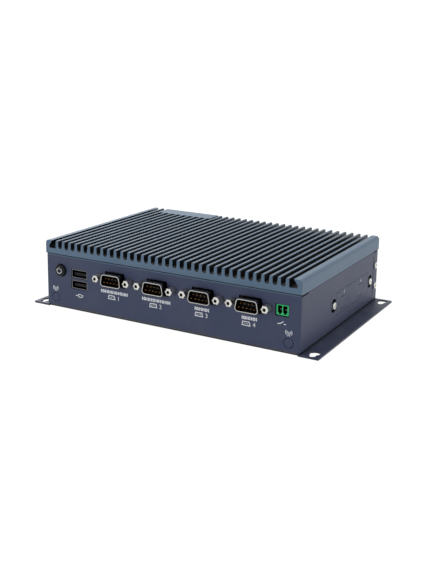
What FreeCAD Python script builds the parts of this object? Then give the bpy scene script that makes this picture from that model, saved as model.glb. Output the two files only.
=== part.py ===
"""Fanless industrial PC: a finned aluminium cover on a folded steel case with wall-mount ears.

Units are millimetres. X runs along the long front panel, Y from the front panel (-Y) to the
rear panel (+Y) and Z upwards. The origin is the centre of the base plate's underside.

Every driving dimension is a cell of the sheet "sizes". The main board hangs under the finned
cover, so all sockets hang from its underside and show through the front and rear panels.
"""
import FreeCAD, Part
import Sketcher
import math
import os
import re

os.makedirs("parts", exist_ok=True)

# ----------------------------------------------------------------------------- driving sizes
SIZES = [
    ("case_width", 196.0, "outside width of the folded case"),
    ("case_depth", 136.0, "outside depth, front face to rear face"),
    ("sheet_gauge", 1.2, "thickness of every folded steel sheet"),
    ("fold_radius", 1.1, "outside radius of the lip folds"),
    ("corner_radius", 1.4, "outside radius of the upright case corners"),
    ("lip_width", 8.0, "width of the lips folded inwards"),
    ("cover_underside", 38.6, "height of the finned cover's underside"),
    ("cover_top", 48.1, "height of the fin tips, rails and raised block"),
    ("cover_width", 196.6, "width of the finned cover"),
    ("cover_base", 3.95, "thickness of the cover under the fins"),
    ("fin_count", 33, "fins between the two edge rails"),
    ("fin_pitch", 5.53, "distance from fin to fin"),
    ("fin_tip", 2.0, "thickness of a fin near its tip"),
    ("fin_draft", 0.2, "thickening of each fin face at the root arc"),
    ("fin_chamfer", 0.3, "chamfer along the fin tips"),
    ("root_rise", 1.1, "height of the round floor between two fins"),
    ("rail_top", 5.6, "width of the flat top of an edge rail"),
    ("rail_round", 2.4, "outside radius of an edge rail"),
    ("rail_wall", 2.9, "thinnest wall of an edge rail"),
    ("block_left", -83.95, "left side of the raised block, which is the second fin's face"),
    ("block_right", -35.8, "right side of the raised block"),
    ("block_depth", 14.2, "depth of the raised block from the rear face"),
    ("ear_width", 12.2, "how far each ear stands out past the case"),
    ("plate_setback", 1.5, "how far the base plate's front edge lies under the case"),
    ("plate_corner", 0.6, "corner radius of the ears"),
    ("key_across", 104.6, "keyholes' distance from the centre plane, along X"),
    ("key_front", -60.0, "centre of the front keyholes' round end, along Y"),
    ("key_rear", 62.7, "centre of the rear keyholes' round end, along Y"),
    ("key_head", 3.5, "radius of the keyhole's round end"),
    ("key_slot", 2.25, "half width of the keyhole's slot"),
    ("key_travel", 4.6, "distance from round end to slot end"),
    ("port_height", 27.6, "height of the serial ports' and the power button's centres"),
    ("port_1_x", -39.2, "centre of the first serial port"),
    ("port_2_x", -5.4, "centre of the second serial port"),
    ("port_3_x", 29.6, "centre of the third serial port"),
    ("port_4_x", 63.7, "centre of the fourth serial port"),
    ("d_width", 16.92, "outside width of a nine-pin shell at its wide row"),
    ("d_height", 8.36, "outside height of a nine-pin shell"),
    ("d_slant", 1.47, "how much further in the narrow row's corner lies"),
    ("d_corner", 2.3, "outside corner radius of a nine-pin shell"),
    ("d_wall", 0.5, "wall of a nine-pin shell"),
    ("d_reach", 5.6, "how far the shell stands out of the panel"),
    ("d_clearance", 0.8, "gap between the shell and its panel cut-out"),
    ("d_flange_width", 30.8, "width of the nine-pin shell's flange"),
    ("d_flange_height", 12.5, "height of the nine-pin shell's flange"),
    ("d_flange_gauge", 0.8, "thickness of the nine-pin shell's flange"),
    ("jack_spacing", 24.99, "distance between a port's two jackscrews"),
    ("jack_flats", 4.5, "distance across a jackscrew's flats"),
    ("jack_reach", 6.0, "how far a jackscrew stands out of the panel"),
    ("jack_thread", 1.15, "radius of a jackscrew's threaded hole"),
    ("pin_pitch", 2.77, "distance from pin to pin along a row"),
    ("row_pitch", 2.84, "distance between the two rows of pins"),
    ("pin_radius", 0.5, "radius of a contact pin"),
    ("button_x", -85.2, "centre of the power button"),
    ("button_radius", 4.3, "radius of the power button"),
    ("button_reach", 2.2, "how far the power button stands out of the panel"),
    ("guide_wall", 0.95, "wall of the power button's guide"),
    ("usb_x", -69.4, "centre of the front bus sockets"),
    ("usb_high", 26.8, "centre height of the upper bus socket"),
    ("usb_pitch", 7.7, "distance between the two stacked bus sockets"),
    ("usb_width", 12.5, "inside width of a bus socket"),
    ("usb_height", 5.12, "inside height of a bus socket"),
    ("usb_wall", 0.4, "wall of the bus sockets' shell"),
    ("usb_cutout_gap", 0.35, "gap between a bus socket's shell and its panel cut-out"),
    ("usb_length", 17.0, "depth of the bus sockets' shell"),
    ("header_x", 85.5, "centre of the two-pole header"),
    ("header_height", 27.4, "centre height of the two-pole header"),
    ("header_pitch", 3.5, "pole pitch of the two-pole header"),
    ("header_rise", 6.8, "outside height of the two-pole header"),
    ("knockout_x", 90.3, "distance of the antenna knock-outs from the centre plane"),
    ("knockout_height", 7.4, "height of the antenna knock-outs"),
    ("knockout_radius", 3.4, "outside radius of an antenna knock-out's slot"),
    ("knockout_slot", 0.35, "width of an antenna knock-out's slot"),
    ("hatch_y", 18.3, "centre of the side hatch, along Y"),
    ("hatch_height", 17.95, "centre height of the side hatch"),
    ("hatch_length", 59.2, "length of the side hatch between its ears"),
    ("hatch_rise", 15.2, "height of the side hatch"),
    ("hatch_screw_reach", 33.8, "distance of the hatch screws from its centre"),
    ("hatch_tongue", 4.4, "width of the side hatch's screw tongues"),
    ("hatch_bay", 4.6, "radius of the wall's round bays for the tongues"),
    ("hatch_gap", 0.2, "gap round the side hatch"),
    ("hatch_blank_pitch", 31.3, "distance between the hatch's two blanked port shapes"),
    ("frame_reach", 37.2, "half the length of the hatch's inner frame"),
    ("frame_rise", 13.0, "half the height of the hatch's inner frame"),
    ("window_reach", 27.5, "half the length of the frame's window"),
    ("window_rise", 6.6, "half the height of the frame's window"),
    ("tab_depth", 9.0, "depth of the rear panel's side tabs"),
    ("tab_screw_low", 12.3, "height of the lower tab screws"),
    ("tab_screw_high", 27.4, "height of the upper tab screws"),
    ("tab_screw_y", 62.9, "place of the tab screws along Y"),
    ("board_underside", 33.0, "height of the main board's underside"),
    ("board_gauge", 1.6, "thickness of the main board"),
    ("board_width", 184.0, "width of the main board"),
    ("board_depth", 128.0, "depth of the main board"),
    ("screw_radius", 1.45, "radius of an M3 screw's shank"),
    ("screw_head", 2.4, "radius of an M3 screw's head"),
    ("screw_head_rise", 1.1, "height of an M3 screw's head"),
    ("sunk_head", 2.7, "radius of a countersunk M3 screw's head"),
    ("tapped_radius", 1.5, "radius of a tapped hole for an M3 screw"),
    ("through_radius", 1.7, "radius of a clearance hole for an M3 screw"),
    ("lan_x", 12.0, "centre of the first network socket, on the rear panel"),
    ("lan_pitch", 18.0, "distance between the two network sockets"),
    ("lan_width", 16.0, "outside width of a network socket"),
    ("lan_rise", 13.4, "outside height of a network socket"),
    ("lan_length", 21.0, "depth of a network socket"),
    ("rear_usb_x", -10.0, "centre of the rear bus sockets"),
    ("video_x", -34.0, "centre of the video socket"),
    ("video_width", 14.0, "inside width of the video socket"),
    ("video_rise", 4.55, "inside height of the video socket"),
    ("inlet_x", -72.0, "centre of the three-pole power header"),
    ("inlet_pitch", 5.08, "pole pitch of the power header"),
    ("inlet_rise", 8.6, "outside height of the power header"),
    ("earth_x", -52.0, "place of the earth screw along X"),
    ("earth_height", 14.0, "height of the earth screw"),
]
ALIASES = [word for word, number, meaning in SIZES]

document = FreeCAD.newDocument("fanless_industrial_pc")
sheet = document.addObject("Spreadsheet::Sheet", "sizes")
for line_number, (word, number, meaning) in enumerate(SIZES, start=1):
    sheet.set(f"A{line_number}", word)
    sheet.set(f"B{line_number}", str(number))
    sheet.setAlias(f"B{line_number}", word)
    sheet.set(f"C{line_number}", meaning)
document.recompute()


# ----------------------------------------------------------------------------- formulas
def formula(text):
    """An expression for FreeCAD: every size's word gets the sheet's name in front of it."""
    return re.sub(r"[a-z_][a-z_0-9]*",
                  lambda found: "sizes." + found.group() if found.group() in ALIASES else found.group(),
                  str(text))


def value(text):
    """The number that a formula gives now."""
    return float(sheet.evalExpression(formula(text)))


def bind(item, field, text):
    """Tie a field of a document object to a formula of the sheet's sizes."""
    item.setExpression(field, formula(text))


SIDE = "(case_width / 2)"
SIDE_INSIDE = "(case_width / 2 - sheet_gauge)"
FRONT = "(-case_depth / 2)"
FRONT_INSIDE = "(-case_depth / 2 + sheet_gauge)"
REAR = "(case_depth / 2)"
REAR_INSIDE = "(case_depth / 2 - sheet_gauge)"
CASE_LOW = "sheet_gauge"                       # the case stands on the base plate
SEAM = 0.15                                    # hairline gap between two sheets
TAB_FRONT = f"({REAR} - tab_depth)"
FIN_FLOOR = "(cover_underside + cover_base)"


# ----------------------------------------------------------------------------- sketch helpers
def origin_plane(body, role):
    """The body's own origin plane with this role."""
    return [item for item in body.Origin.OriginFeatures if item.Role == role][0]


def new_body(label):
    """An empty PartDesign body whose label is its node's name."""
    body = document.addObject("PartDesign::Body", label)
    body.Label = label
    return body


def outline(sketch, corners):
    """A closed outline. A corner is (across, up), or (across, up, sag) where the next edge bulges.

    The sag is how far the middle of the edge after that corner lies outside its chord.
    """
    places = [FreeCAD.Vector(value(corner[0]), value(corner[1]), 0) for corner in corners]
    first = sketch.GeometryCount
    for index, corner in enumerate(corners):
        start, end = places[index], places[(index + 1) % len(places)]
        if len(corner) == 3:
            chord = end - start
            aside = FreeCAD.Vector(chord.y, -chord.x, 0).normalize()
            sag = value(corner[2])
            middle = (start + end) * 0.5 + aside * sag
            # A sketch's arcs always run counter-clockwise, so a hollow one is made end to start.
            ends = (start, end) if sag > 0 else (end, start)
            sketch.addGeometry(Part.Arc(ends[0], middle, ends[1]), False)
        else:
            sketch.addGeometry(Part.LineSegment(start, end), False)
    for index, corner in enumerate(corners):
        edge, after = first + index, first + (index + 1) % len(corners)
        edge_end = arc_end(sketch, edge, places[(index + 1) % len(places)])
        after_start = 3 - arc_end(sketch, after, places[(index + 2) % len(places)])
        sketch.addConstraint(Sketcher.Constraint("Coincident", edge, edge_end, after, after_start))
    for index, corner in enumerate(corners):
        edge = first + index
        edge_start = 3 - arc_end(sketch, edge, places[(index + 1) % len(places)])
        fix_point(sketch, edge, edge_start, corner[0], corner[1])
        if len(corner) == 3:
            hold_bulge(sketch, edge, corner, corners[(index + 1) % len(corners)])


def hold_bulge(sketch, edge, start, end):
    """Hold the centre of a bulging edge, which lies sag/2 - half_chord^2/(2 sag) outside its chord."""
    sag = start[2]
    run, rise = (f"(({end[side]}) - ({start[side]}))" for side in (0, 1))
    chord = FreeCAD.Vector(value(run), value(rise), 0)
    aside = FreeCAD.Vector(chord.y, -chord.x, 0).normalize()
    outside = f"(({sag}) / 2 - ({run} ^ 2 + {rise} ^ 2) / (8 * ({sag})))"
    side = 0 if abs(aside.x) > abs(aside.y) else 1
    centre = f"(({start[side]}) + ({end[side]})) / 2 + {aside[side]:.9f} * {outside}"
    held = sketch.addConstraint(
        Sketcher.Constraint("DistanceX" if side == 0 else "DistanceY", -1, 1, edge, 3, value(centre)))
    bind(sketch, f"Constraints[{held}]", centre)


def arc_end(sketch, edge, place):
    """Which end of an edge (1 or 2) lies at a place."""
    shape = sketch.Geometry[edge]
    return 2 if (shape.EndPoint - place).Length < (shape.StartPoint - place).Length else 1


def fix_point(sketch, edge, end, across, up):
    """Hold one end of an edge, or a centre (3), at two formulas from the sketch's origin."""
    for kind, text in (("DistanceX", across), ("DistanceY", up)):
        held = sketch.addConstraint(Sketcher.Constraint(kind, -1, 1, edge, end, value(text)))
        bind(sketch, f"Constraints[{held}]", text)


def rectangle(sketch, left, right, low, high):
    """A rectangle between two formulas each way."""
    outline(sketch, [(left, low), (right, low), (right, high), (left, high)])


def circle(sketch, across, up, radius):
    """A circle round a point."""
    edge = sketch.addGeometry(
        Part.Circle(FreeCAD.Vector(value(across), value(up), 0), FreeCAD.Vector(0, 0, 1), value(radius)))
    fix_point(sketch, edge, 3, across, up)
    held = sketch.addConstraint(Sketcher.Constraint("Radius", edge, value(radius)))
    bind(sketch, f"Constraints[{held}]", radius)


def d_shape(sketch, across, up, grow):
    """The outline of a nine-pin shell, wide row low, grown on every side."""
    wide = f"d_width / 2 + {grow}"
    narrow = f"d_width / 2 - d_slant + {grow}"
    tall = f"d_height / 2 + {grow}"
    outline(sketch, [
        (f"{across} - ({wide})", f"{up} - ({tall})"), (f"{across} + {wide}", f"{up} - ({tall})"),
        (f"{across} + {narrow}", f"{up} + {tall}"), (f"{across} - ({narrow})", f"{up} + {tall}")])


PAD_FROM_HIGH = {"XY_Plane": False, "XZ_Plane": True, "YZ_Plane": False}


def slab(body, name, role, low, high, draw, cut=False):
    """Pad or pocket of what draw() sketches, filling low to high along the plane's world axis.

    The XZ plane's normal points to -Y, so its pads start at the high end and its pockets at the low.
    """
    sketch = body.newObject("Sketcher::SketchObject", name + "_sketch")
    sketch.AttachmentSupport = [(origin_plane(body, role), "")]
    sketch.MapMode = "FlatFace"
    starts_high = PAD_FROM_HIGH[role] != cut
    sign = "-" if role == "XZ_Plane" else ""
    bind(sketch, "AttachmentOffset.Base.z", f"{sign}({high if starts_high else low})")
    draw(sketch)
    feature = body.newObject("PartDesign::Pocket" if cut else "PartDesign::Pad", name)
    feature.Profile = sketch
    bind(feature, "Length", f"({high}) - ({low})")
    document.recompute()
    return feature


def cut_through(body, name, role, low, high, draw):
    """A pocket that has to take material away."""
    before = body.Shape.Volume
    feature = slab(body, name, role, low, high, draw, cut=True)
    if body.Shape.Volume > before - 1e-6:
        raise RuntimeError(f"{body.Label}: {name} cuts nothing")
    return feature


def edges_of(feature, test):
    """The names of a feature's edges that pass a test."""
    return [f"Edge{number}" for number, edge in enumerate(feature.Shape.Edges, start=1) if test(edge)]


def runs_along(edge, axis):
    """Whether an edge is straight and parallel to an axis."""
    if not isinstance(edge.Curve, Part.Line):
        return False
    return abs(getattr(edge.Curve.Direction, axis)) > 0.999


def near(first, second):
    """Whether two lengths are the same within a hundredth."""
    return abs(first - second) < 0.01


def round_edges(body, name, test, radius):
    """Fillet the edges of the body's tip that pass a test."""
    base = body.Tip
    fillet = body.newObject("PartDesign::Fillet", name)
    fillet.Base = (base, edges_of(base, test))
    bind(fillet, "Radius", radius)
    document.recompute()
    return fillet


# ----------------------------------------------------------------------------- solid helpers
def block(name, left, right, front, rear, low, high):
    """A box between two formulas each way."""
    solid = document.addObject("Part::Box", name)
    for field, first, second in (("Length", left, right), ("Width", front, rear), ("Height", low, high)):
        bind(solid, field, f"({second}) - ({first})")
    place(solid, left, front, low)
    return solid


def place(item, across, along, up, turn=0):
    """Put an object somewhere by formulas, turned about Z by an angle in degrees."""
    item.Placement = FreeCAD.Placement(
        FreeCAD.Vector(0, 0, 0), FreeCAD.Rotation(FreeCAD.Vector(0, 0, 1), turn))
    for field, text in (("x", across), ("y", along), ("z", up)):
        bind(item, f"Placement.Base.{field}", text)
    return item


AXIS_TURNS = {
    "up": FreeCAD.Rotation(),
    "rear": FreeCAD.Rotation(FreeCAD.Vector(1, 0, 0), -90),
    "front": FreeCAD.Rotation(FreeCAD.Vector(1, 0, 0), 90),
    "right": FreeCAD.Rotation(FreeCAD.Vector(0, 1, 0), 90),
    "left": FreeCAD.Rotation(FreeCAD.Vector(0, 1, 0), -90),
    "down": FreeCAD.Rotation(FreeCAD.Vector(1, 0, 0), 180),
}


def aimed(solid, aim, across, along, up):
    """Turn a solid that was made along Z to point one of the six ways, and put it in place."""
    solid.Placement = FreeCAD.Placement(FreeCAD.Vector(0, 0, 0), AXIS_TURNS[aim])
    for field, text in (("x", across), ("y", along), ("z", up)):
        bind(solid, f"Placement.Base.{field}", text)
    return solid


def rod(name, aim, across, along, up, radius, length):
    """A cylinder from a point, in one of the six ways."""
    solid = document.addObject("Part::Cylinder", name)
    bind(solid, "Radius", radius)
    bind(solid, "Height", length)
    return aimed(solid, aim, across, along, up)


def taper(name, aim, across, along, up, radius, end_radius, length):
    """A cone's frustum from a point, in one of the six ways."""
    solid = document.addObject("Part::Cone", name)
    bind(solid, "Radius1", radius)
    bind(solid, "Radius2", end_radius)
    bind(solid, "Height", length)
    return aimed(solid, aim, across, along, up)


def hexagon(name, aim, across, along, up, flats, length):
    """A six-sided bar from a point, in one of the six ways."""
    solid = document.addObject("Part::Prism", name)
    solid.Polygon = 6
    bind(solid, "Circumradius", f"({flats}) / {math.sqrt(3):.6f}")
    bind(solid, "Height", length)
    return aimed(solid, aim, across, along, up)


def joined(name, solids):
    """Several solids made one."""
    if len(solids) == 1:
        return solids[0]
    whole = document.addObject("Part::MultiFuse", name)
    whole.Shapes = solids
    whole.Refine = True
    return whole


def without(name, base, tools):
    """A solid with others taken out of it."""
    rest = document.addObject("Part::Cut", name)
    rest.Base = base
    rest.Tool = joined(name + "_tools", tools)
    return rest


def group(label, solids):
    """Separate like pieces kept as one node."""
    whole = document.addObject("Part::Compound", label)
    whole.Links = solids
    whole.Label = label
    return whole


def node(item, label):
    """Give a finished solid its node's name."""
    item.Label = label
    return item


# ----------------------------------------------------------------------------- finned cover
def build_cover():
    """The extruded cover: a base, two undercut edge rails, fins with round roots, a raised block."""
    body = new_body("finned_cover")
    half = "cover_width / 2"
    slab(body, "bar", "XZ_Plane", FRONT, REAR,
         lambda sketch: rectangle(sketch, f"-{half}", half, "cover_underside", "cover_top"))
    round_edges(body, "rail_rounds",
                lambda edge: runs_along(edge, "y") and near(edge.CenterOfMass.z, value("cover_top")),
                "rail_round")

    last_fin = "(fin_count - 1) * fin_pitch / 2"
    over = "cover_top + 1"

    def edge_channel(sketch):
        """From the last fin's face to the undercut inner face of the right rail."""
        outline(sketch, [
            (f"{last_fin} + fin_tip / 2 + fin_draft", FIN_FLOOR),
            (f"{half} - rail_wall - 0.4", FIN_FLOOR),
            (f"{half} - rail_wall", f"{FIN_FLOOR} + 1.1"),
            (f"{half} - rail_wall - 0.4", "cover_top - 3.4"),
            (f"{half} - rail_top", "cover_top"),
            (f"{half} - rail_top", over),
            (f"{last_fin} + fin_tip / 2 - fin_chamfer", over),
            (f"{last_fin} + fin_tip / 2 - fin_chamfer", "cover_top"),
            (f"{last_fin} + fin_tip / 2", "cover_top - fin_chamfer")])

    channel = cut_through(body, "edge_channel", "XZ_Plane", FRONT, REAR, edge_channel)
    mirrored = body.newObject("PartDesign::Mirrored", "left_channel")
    mirrored.Originals = [channel]
    mirrored.MirrorPlane = (origin_plane(body, "YZ_Plane"), [""])
    body.Tip = mirrored
    document.recompute()

    middle = f"-({last_fin}) + fin_pitch / 2"
    top_half = "(fin_pitch - fin_tip) / 2"
    low_half = f"({top_half} - fin_draft)"

    def fin_gap(sketch):
        """The gap after the first fin: drafted faces, a round floor and chamfered fin tips."""
        outline(sketch, [
            (f"{middle} - {low_half}", f"{FIN_FLOOR} + root_rise", "root_rise"),
            (f"{middle} + {low_half}", f"{FIN_FLOOR} + root_rise"),
            (f"{middle} + {top_half}", "cover_top - fin_chamfer"),
            (f"{middle} + {top_half} + fin_chamfer", "cover_top"),
            (f"{middle} + {top_half} + fin_chamfer", over),
            (f"{middle} - ({top_half}) - fin_chamfer", over),
            (f"{middle} - ({top_half}) - fin_chamfer", "cover_top"),
            (f"{middle} - ({top_half})", "cover_top - fin_chamfer")])

    gap = cut_through(body, "fin_gap", "XZ_Plane", FRONT, REAR, fin_gap)
    gaps = body.newObject("PartDesign::LinearPattern", "fin_gaps")
    gaps.Originals = [gap]
    gaps.Direction = (gap.Profile[0], ["H_Axis"])
    bind(gaps, "Length", "fin_pitch * (fin_count - 2)")
    gaps.Occurrences = int(value("fin_count - 1"))
    body.Tip = gaps
    document.recompute()

    slab(body, "raised_block", "XY_Plane", FIN_FLOOR, "cover_top",
         lambda sketch: rectangle(sketch, "block_left", "block_right", f"{REAR} - block_depth", REAR))

    def tapped_holes(sketch):
        for across, along in COVER_SCREWS + BOARD_SCREWS:
            circle(sketch, across, along, "tapped_radius")

    # Blind holes from below for the lip screws and the board's spacers.
    cut_through(body, "tapped_holes", "XY_Plane", "cover_underside - 1", "cover_underside + 3", tapped_holes)
    return body


COVER_SCREWS = [("60", f"{FRONT} + 6"), ("-60", f"{FRONT} + 6"), (f"{SIDE} - 6", "-30"),
                (f"{SIDE} - 6", "30"), (f"-{SIDE} + 6", "-30"), (f"-{SIDE} + 6", "30")]
BOARD_SCREWS = [("-85", "-46"), ("85", "-46"), ("-85", "42"), ("85", "42"), ("0", "-48"), ("0", "40")]
LIP_ENDS = "(case_width / 2 - 12)"
SIDE_LIP_FRONT = f"({FRONT} + 10.4)"
PLATE_SCREWS_FRONT = [("-70", f"{FRONT} + 6"), ("0", f"{FRONT} + 6"), ("70", f"{FRONT} + 6")]
PLATE_SCREWS_REAR = [("-70", f"{REAR} - 6"), ("0", f"{REAR} - 6"), ("70", f"{REAR} - 6")]
PORTS = ["port_1_x", "port_2_x", "port_3_x", "port_4_x"]


# ----------------------------------------------------------------------------- folded case
def build_case():
    """Front panel and both side walls folded from one sheet, with lips top and bottom."""
    body = new_body("case_shell")
    wall_end = f"({TAB_FRONT} - {SEAM})"

    def wrap(sketch):
        outline(sketch, [
            (f"-{SIDE}", wall_end), (f"-{SIDE}", FRONT), (SIDE, FRONT), (SIDE, wall_end),
            (SIDE_INSIDE, wall_end), (SIDE_INSIDE, FRONT_INSIDE),
            (f"-{SIDE_INSIDE}", FRONT_INSIDE), (f"-{SIDE_INSIDE}", wall_end)])

    slab(body, "wrap", "XY_Plane", CASE_LOW, "cover_underside", wrap)
    round_edges(body, "upright_corners",
                lambda edge: runs_along(edge, "z") and near(edge.CenterOfMass.y, value(FRONT)),
                "corner_radius")
    round_edges(body, "inside_corners",
                lambda edge: runs_along(edge, "z") and near(edge.CenterOfMass.y, value(FRONT_INSIDE)),
                "corner_radius - sheet_gauge")

    def lips(sketch):
        rectangle(sketch, f"-{LIP_ENDS}", LIP_ENDS, f"{FRONT} + sheet_gauge / 2",
                  f"{FRONT} + lip_width + sheet_gauge")
        for sign in ("", "-"):
            edges = [f"{sign}({SIDE} - sheet_gauge / 2)", f"{sign}({SIDE} - lip_width - sheet_gauge)"]
            rectangle(sketch, edges[0], edges[1], f"{SIDE_LIP_FRONT} + 2", f"{TAB_FRONT} - 1.2")

    slab(body, "low_lips", "XY_Plane", CASE_LOW, f"{CASE_LOW} + sheet_gauge", lips)
    slab(body, "top_lips", "XY_Plane", "cover_underside - sheet_gauge", "cover_underside", lips)

    def outer_fold(edge):
        """Whether an edge runs along the outside of the front panel or a side wall, top or bottom."""
        middle = edge.CenterOfMass
        level = near(middle.z, value(CASE_LOW)) or near(middle.z, value("cover_underside"))
        front = runs_along(edge, "x") and near(middle.y, value(FRONT))
        side = runs_along(edge, "y") and near(abs(middle.x), value(SIDE))
        return level and (front or side)

    round_edges(body, "lip_folds", outer_fold, "fold_radius")

    # The side walls' top edges are relieved beside the front corners, where no lip is folded.
    def corner_relief(sketch):
        for sign in ("", "-"):
            rectangle(sketch, f"{sign}({SIDE} + 1)", f"{sign}({SIDE_INSIDE} - 0.2)",
                      f"{FRONT} + corner_radius / 2", SIDE_LIP_FRONT)

    cut_through(body, "corner_relief", "XY_Plane", "cover_underside - sheet_gauge", "cover_underside",
                corner_relief)

    # The rear edge is set back further along the stretch between the two ends of each tab.
    def tab_relief(sketch):
        rectangle(sketch, f"{wall_end} - 0.75", f"{wall_end} + 1", f"{CASE_LOW} + 4.5",
                  "cover_underside - 3.9")

    cut_through(body, "tab_relief", "YZ_Plane", f"-{SIDE} - 1", f"{SIDE} + 1", tab_relief)

    cut_through(body, "front_cutouts", "XZ_Plane", f"{FRONT} - 1", f"{FRONT_INSIDE} + 0.2",
                draw_front_cutouts)
    cut_through(body, "front_knockouts", "XZ_Plane", f"{FRONT} - 1", f"{FRONT_INSIDE} + 0.2", draw_knockouts)
    cut_through(body, "hatch_opening", "YZ_Plane", f"{SIDE_INSIDE} - 0.2", f"{SIDE} + 1", draw_hatch_opening)
    cut_through(body, "low_lip_holes", "XY_Plane", "0", f"{CASE_LOW} + sheet_gauge + 1",
                lambda sketch: draw_holes(sketch, PLATE_SCREWS_FRONT, "tapped_radius"))
    cut_through(body, "top_lip_holes", "XY_Plane", "cover_underside - 3", "cover_underside + 1",
                lambda sketch: draw_holes(sketch, COVER_SCREWS, "through_radius"))
    return body


def draw_holes(sketch, places, radius):
    """Equal round holes at several places."""
    for across, along in places:
        circle(sketch, across, along, radius)


def draw_front_cutouts(sketch):
    """Button hole, bus socket windows, nine-pin windows with jackscrew holes, header window."""
    circle(sketch, "button_x", "port_height", "button_radius + 0.3")
    reach = "usb_wall + usb_cutout_gap"
    for centre in ("usb_high", "usb_high - usb_pitch"):
        rectangle(sketch, f"usb_x - (usb_width / 2 + {reach})", f"usb_x + usb_width / 2 + {reach}",
                  f"{centre} - (usb_height / 2 + {reach})", f"{centre} + usb_height / 2 + {reach}")
    for port in PORTS:
        d_shape(sketch, port, "port_height", "d_clearance")
        for sign in ("-", "+"):
            circle(sketch, f"{port} {sign} jack_spacing / 2", "port_height", "through_radius")
    rectangle(sketch, "header_x - (header_pitch + 1.2)", "header_x + header_pitch + 1.2",
              "header_height - (header_rise / 2 + 0.45)", "header_height + header_rise / 2 + 0.45")


def draw_knockouts(sketch):
    """Each antenna knock-out is two slots that leave a bridge at the top and one at the bottom."""
    inner = "knockout_radius - knockout_slot"
    for sign in ("", "-"):
        for start, end in ((-80, 55), (75, 265)):
            draw_ring_slot(sketch, f"{sign}knockout_x", "knockout_height", inner, "knockout_radius",
                           start, end)


def draw_ring_slot(sketch, across, up, inner, outer, start, end):
    """A slot along a circle, between two angles in degrees."""
    half = math.radians(end - start) / 2
    sag = 1 - math.cos(half)
    corner = lambda radius, angle: (f"{across} + ({radius}) * {math.cos(math.radians(angle)):.6f}",
                                    f"{up} + ({radius}) * {math.sin(math.radians(angle)):.6f}")
    outline(sketch, [corner(outer, start) + (f"({outer}) * {sag:.6f}",), corner(outer, end),
                     corner(inner, end) + (f"-({inner}) * {sag:.6f}",), corner(inner, start)])


def draw_hatch_opening(sketch):
    """The hatch's opening in the wall: a bar with a round bay at each end for a screw tongue."""
    length = "(hatch_length / 2 + hatch_gap)"
    rise = "(hatch_rise / 2 + hatch_gap)"
    offset = f"(hatch_screw_reach - {length})"
    mouth = f"sqrt(hatch_bay ^ 2 - {offset} ^ 2)"
    sag = f"(hatch_bay + {offset})"
    outline(sketch, [
        (f"hatch_y - {length}", f"hatch_height - {rise}"),
        (f"hatch_y + {length}", f"hatch_height - {rise}"),
        (f"hatch_y + {length}", f"hatch_height - {mouth}", sag),
        (f"hatch_y + {length}", f"hatch_height + {mouth}"),
        (f"hatch_y + {length}", f"hatch_height + {rise}"),
        (f"hatch_y - {length}", f"hatch_height + {rise}"),
        (f"hatch_y - {length}", f"hatch_height + {mouth}", sag),
        (f"hatch_y - {length}", f"hatch_height - {mouth}")])


def draw_hatch_plate(sketch):
    """The hatch itself: a bar with a round-ended tongue at each end."""
    length, rise, half = "(hatch_length / 2)", "(hatch_rise / 2)", "hatch_tongue / 2"
    straight = "(hatch_screw_reach + 2)"
    outline(sketch, [
        (f"hatch_y - {length}", f"hatch_height - {rise}"),
        (f"hatch_y + {length}", f"hatch_height - {rise}"),
        (f"hatch_y + {length}", f"hatch_height - {half}"),
        (f"hatch_y + {straight}", f"hatch_height - {half}", "2.4"),
        (f"hatch_y + {straight}", f"hatch_height + {half}"),
        (f"hatch_y + {length}", f"hatch_height + {half}"),
        (f"hatch_y + {length}", f"hatch_height + {rise}"),
        (f"hatch_y - {length}", f"hatch_height + {rise}"),
        (f"hatch_y - {length}", f"hatch_height + {half}"),
        (f"hatch_y - {straight}", f"hatch_height + {half}", "2.4"),
        (f"hatch_y - {straight}", f"hatch_height - {half}"),
        (f"hatch_y - {length}", f"hatch_height - {half}")])


def build_base_plate():
    """The flat base plate whose two sides stand out as ears with keyholes."""
    body = new_body("base_plate")
    tip = f"({SIDE} + ear_width)"
    notch = f"({SIDE} - 1.5)"

    def plan(sketch):
        outline(sketch, [
            (f"-{tip}", FRONT), (f"-{notch}", FRONT), (f"-{notch}", f"{FRONT} + plate_setback"),
            (notch, f"{FRONT} + plate_setback"), (notch, FRONT), (tip, FRONT), (tip, REAR),
            (f"-{tip}", REAR)])

    slab(body, "plate", "XY_Plane", "0", "sheet_gauge", plan)
    round_edges(body, "ear_corners",
                lambda edge: runs_along(edge, "z") and near(abs(edge.CenterOfMass.x), value(tip)),
                "plate_corner")

    rise = "sqrt(key_head ^ 2 - key_slot ^ 2)"

    def keyholes(sketch):
        """A round end for a screw's head, and a slot towards the front for its shank."""
        for sign in ("", "-"):
            for centre in ("key_front", "key_rear"):
                across = f"{sign}key_across"
                outline(sketch, [
                    (f"{across} + key_slot", f"{centre} - {rise}", f"key_head + {rise}"),
                    (f"{across} - key_slot", f"{centre} - {rise}"),
                    (f"{across} - key_slot", f"{centre} - key_travel", "key_slot"),
                    (f"{across} + key_slot", f"{centre} - key_travel")])

    cut_through(body, "keyholes", "XY_Plane", "-1", "sheet_gauge + 1", keyholes)
    cut_through(body, "screw_holes", "XY_Plane", "-1", "sheet_gauge + 1",
                lambda sketch: draw_holes(sketch, PLATE_SCREWS_FRONT + PLATE_SCREWS_REAR,
                                           "sunk_head + 0.05"))
    return body


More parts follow.
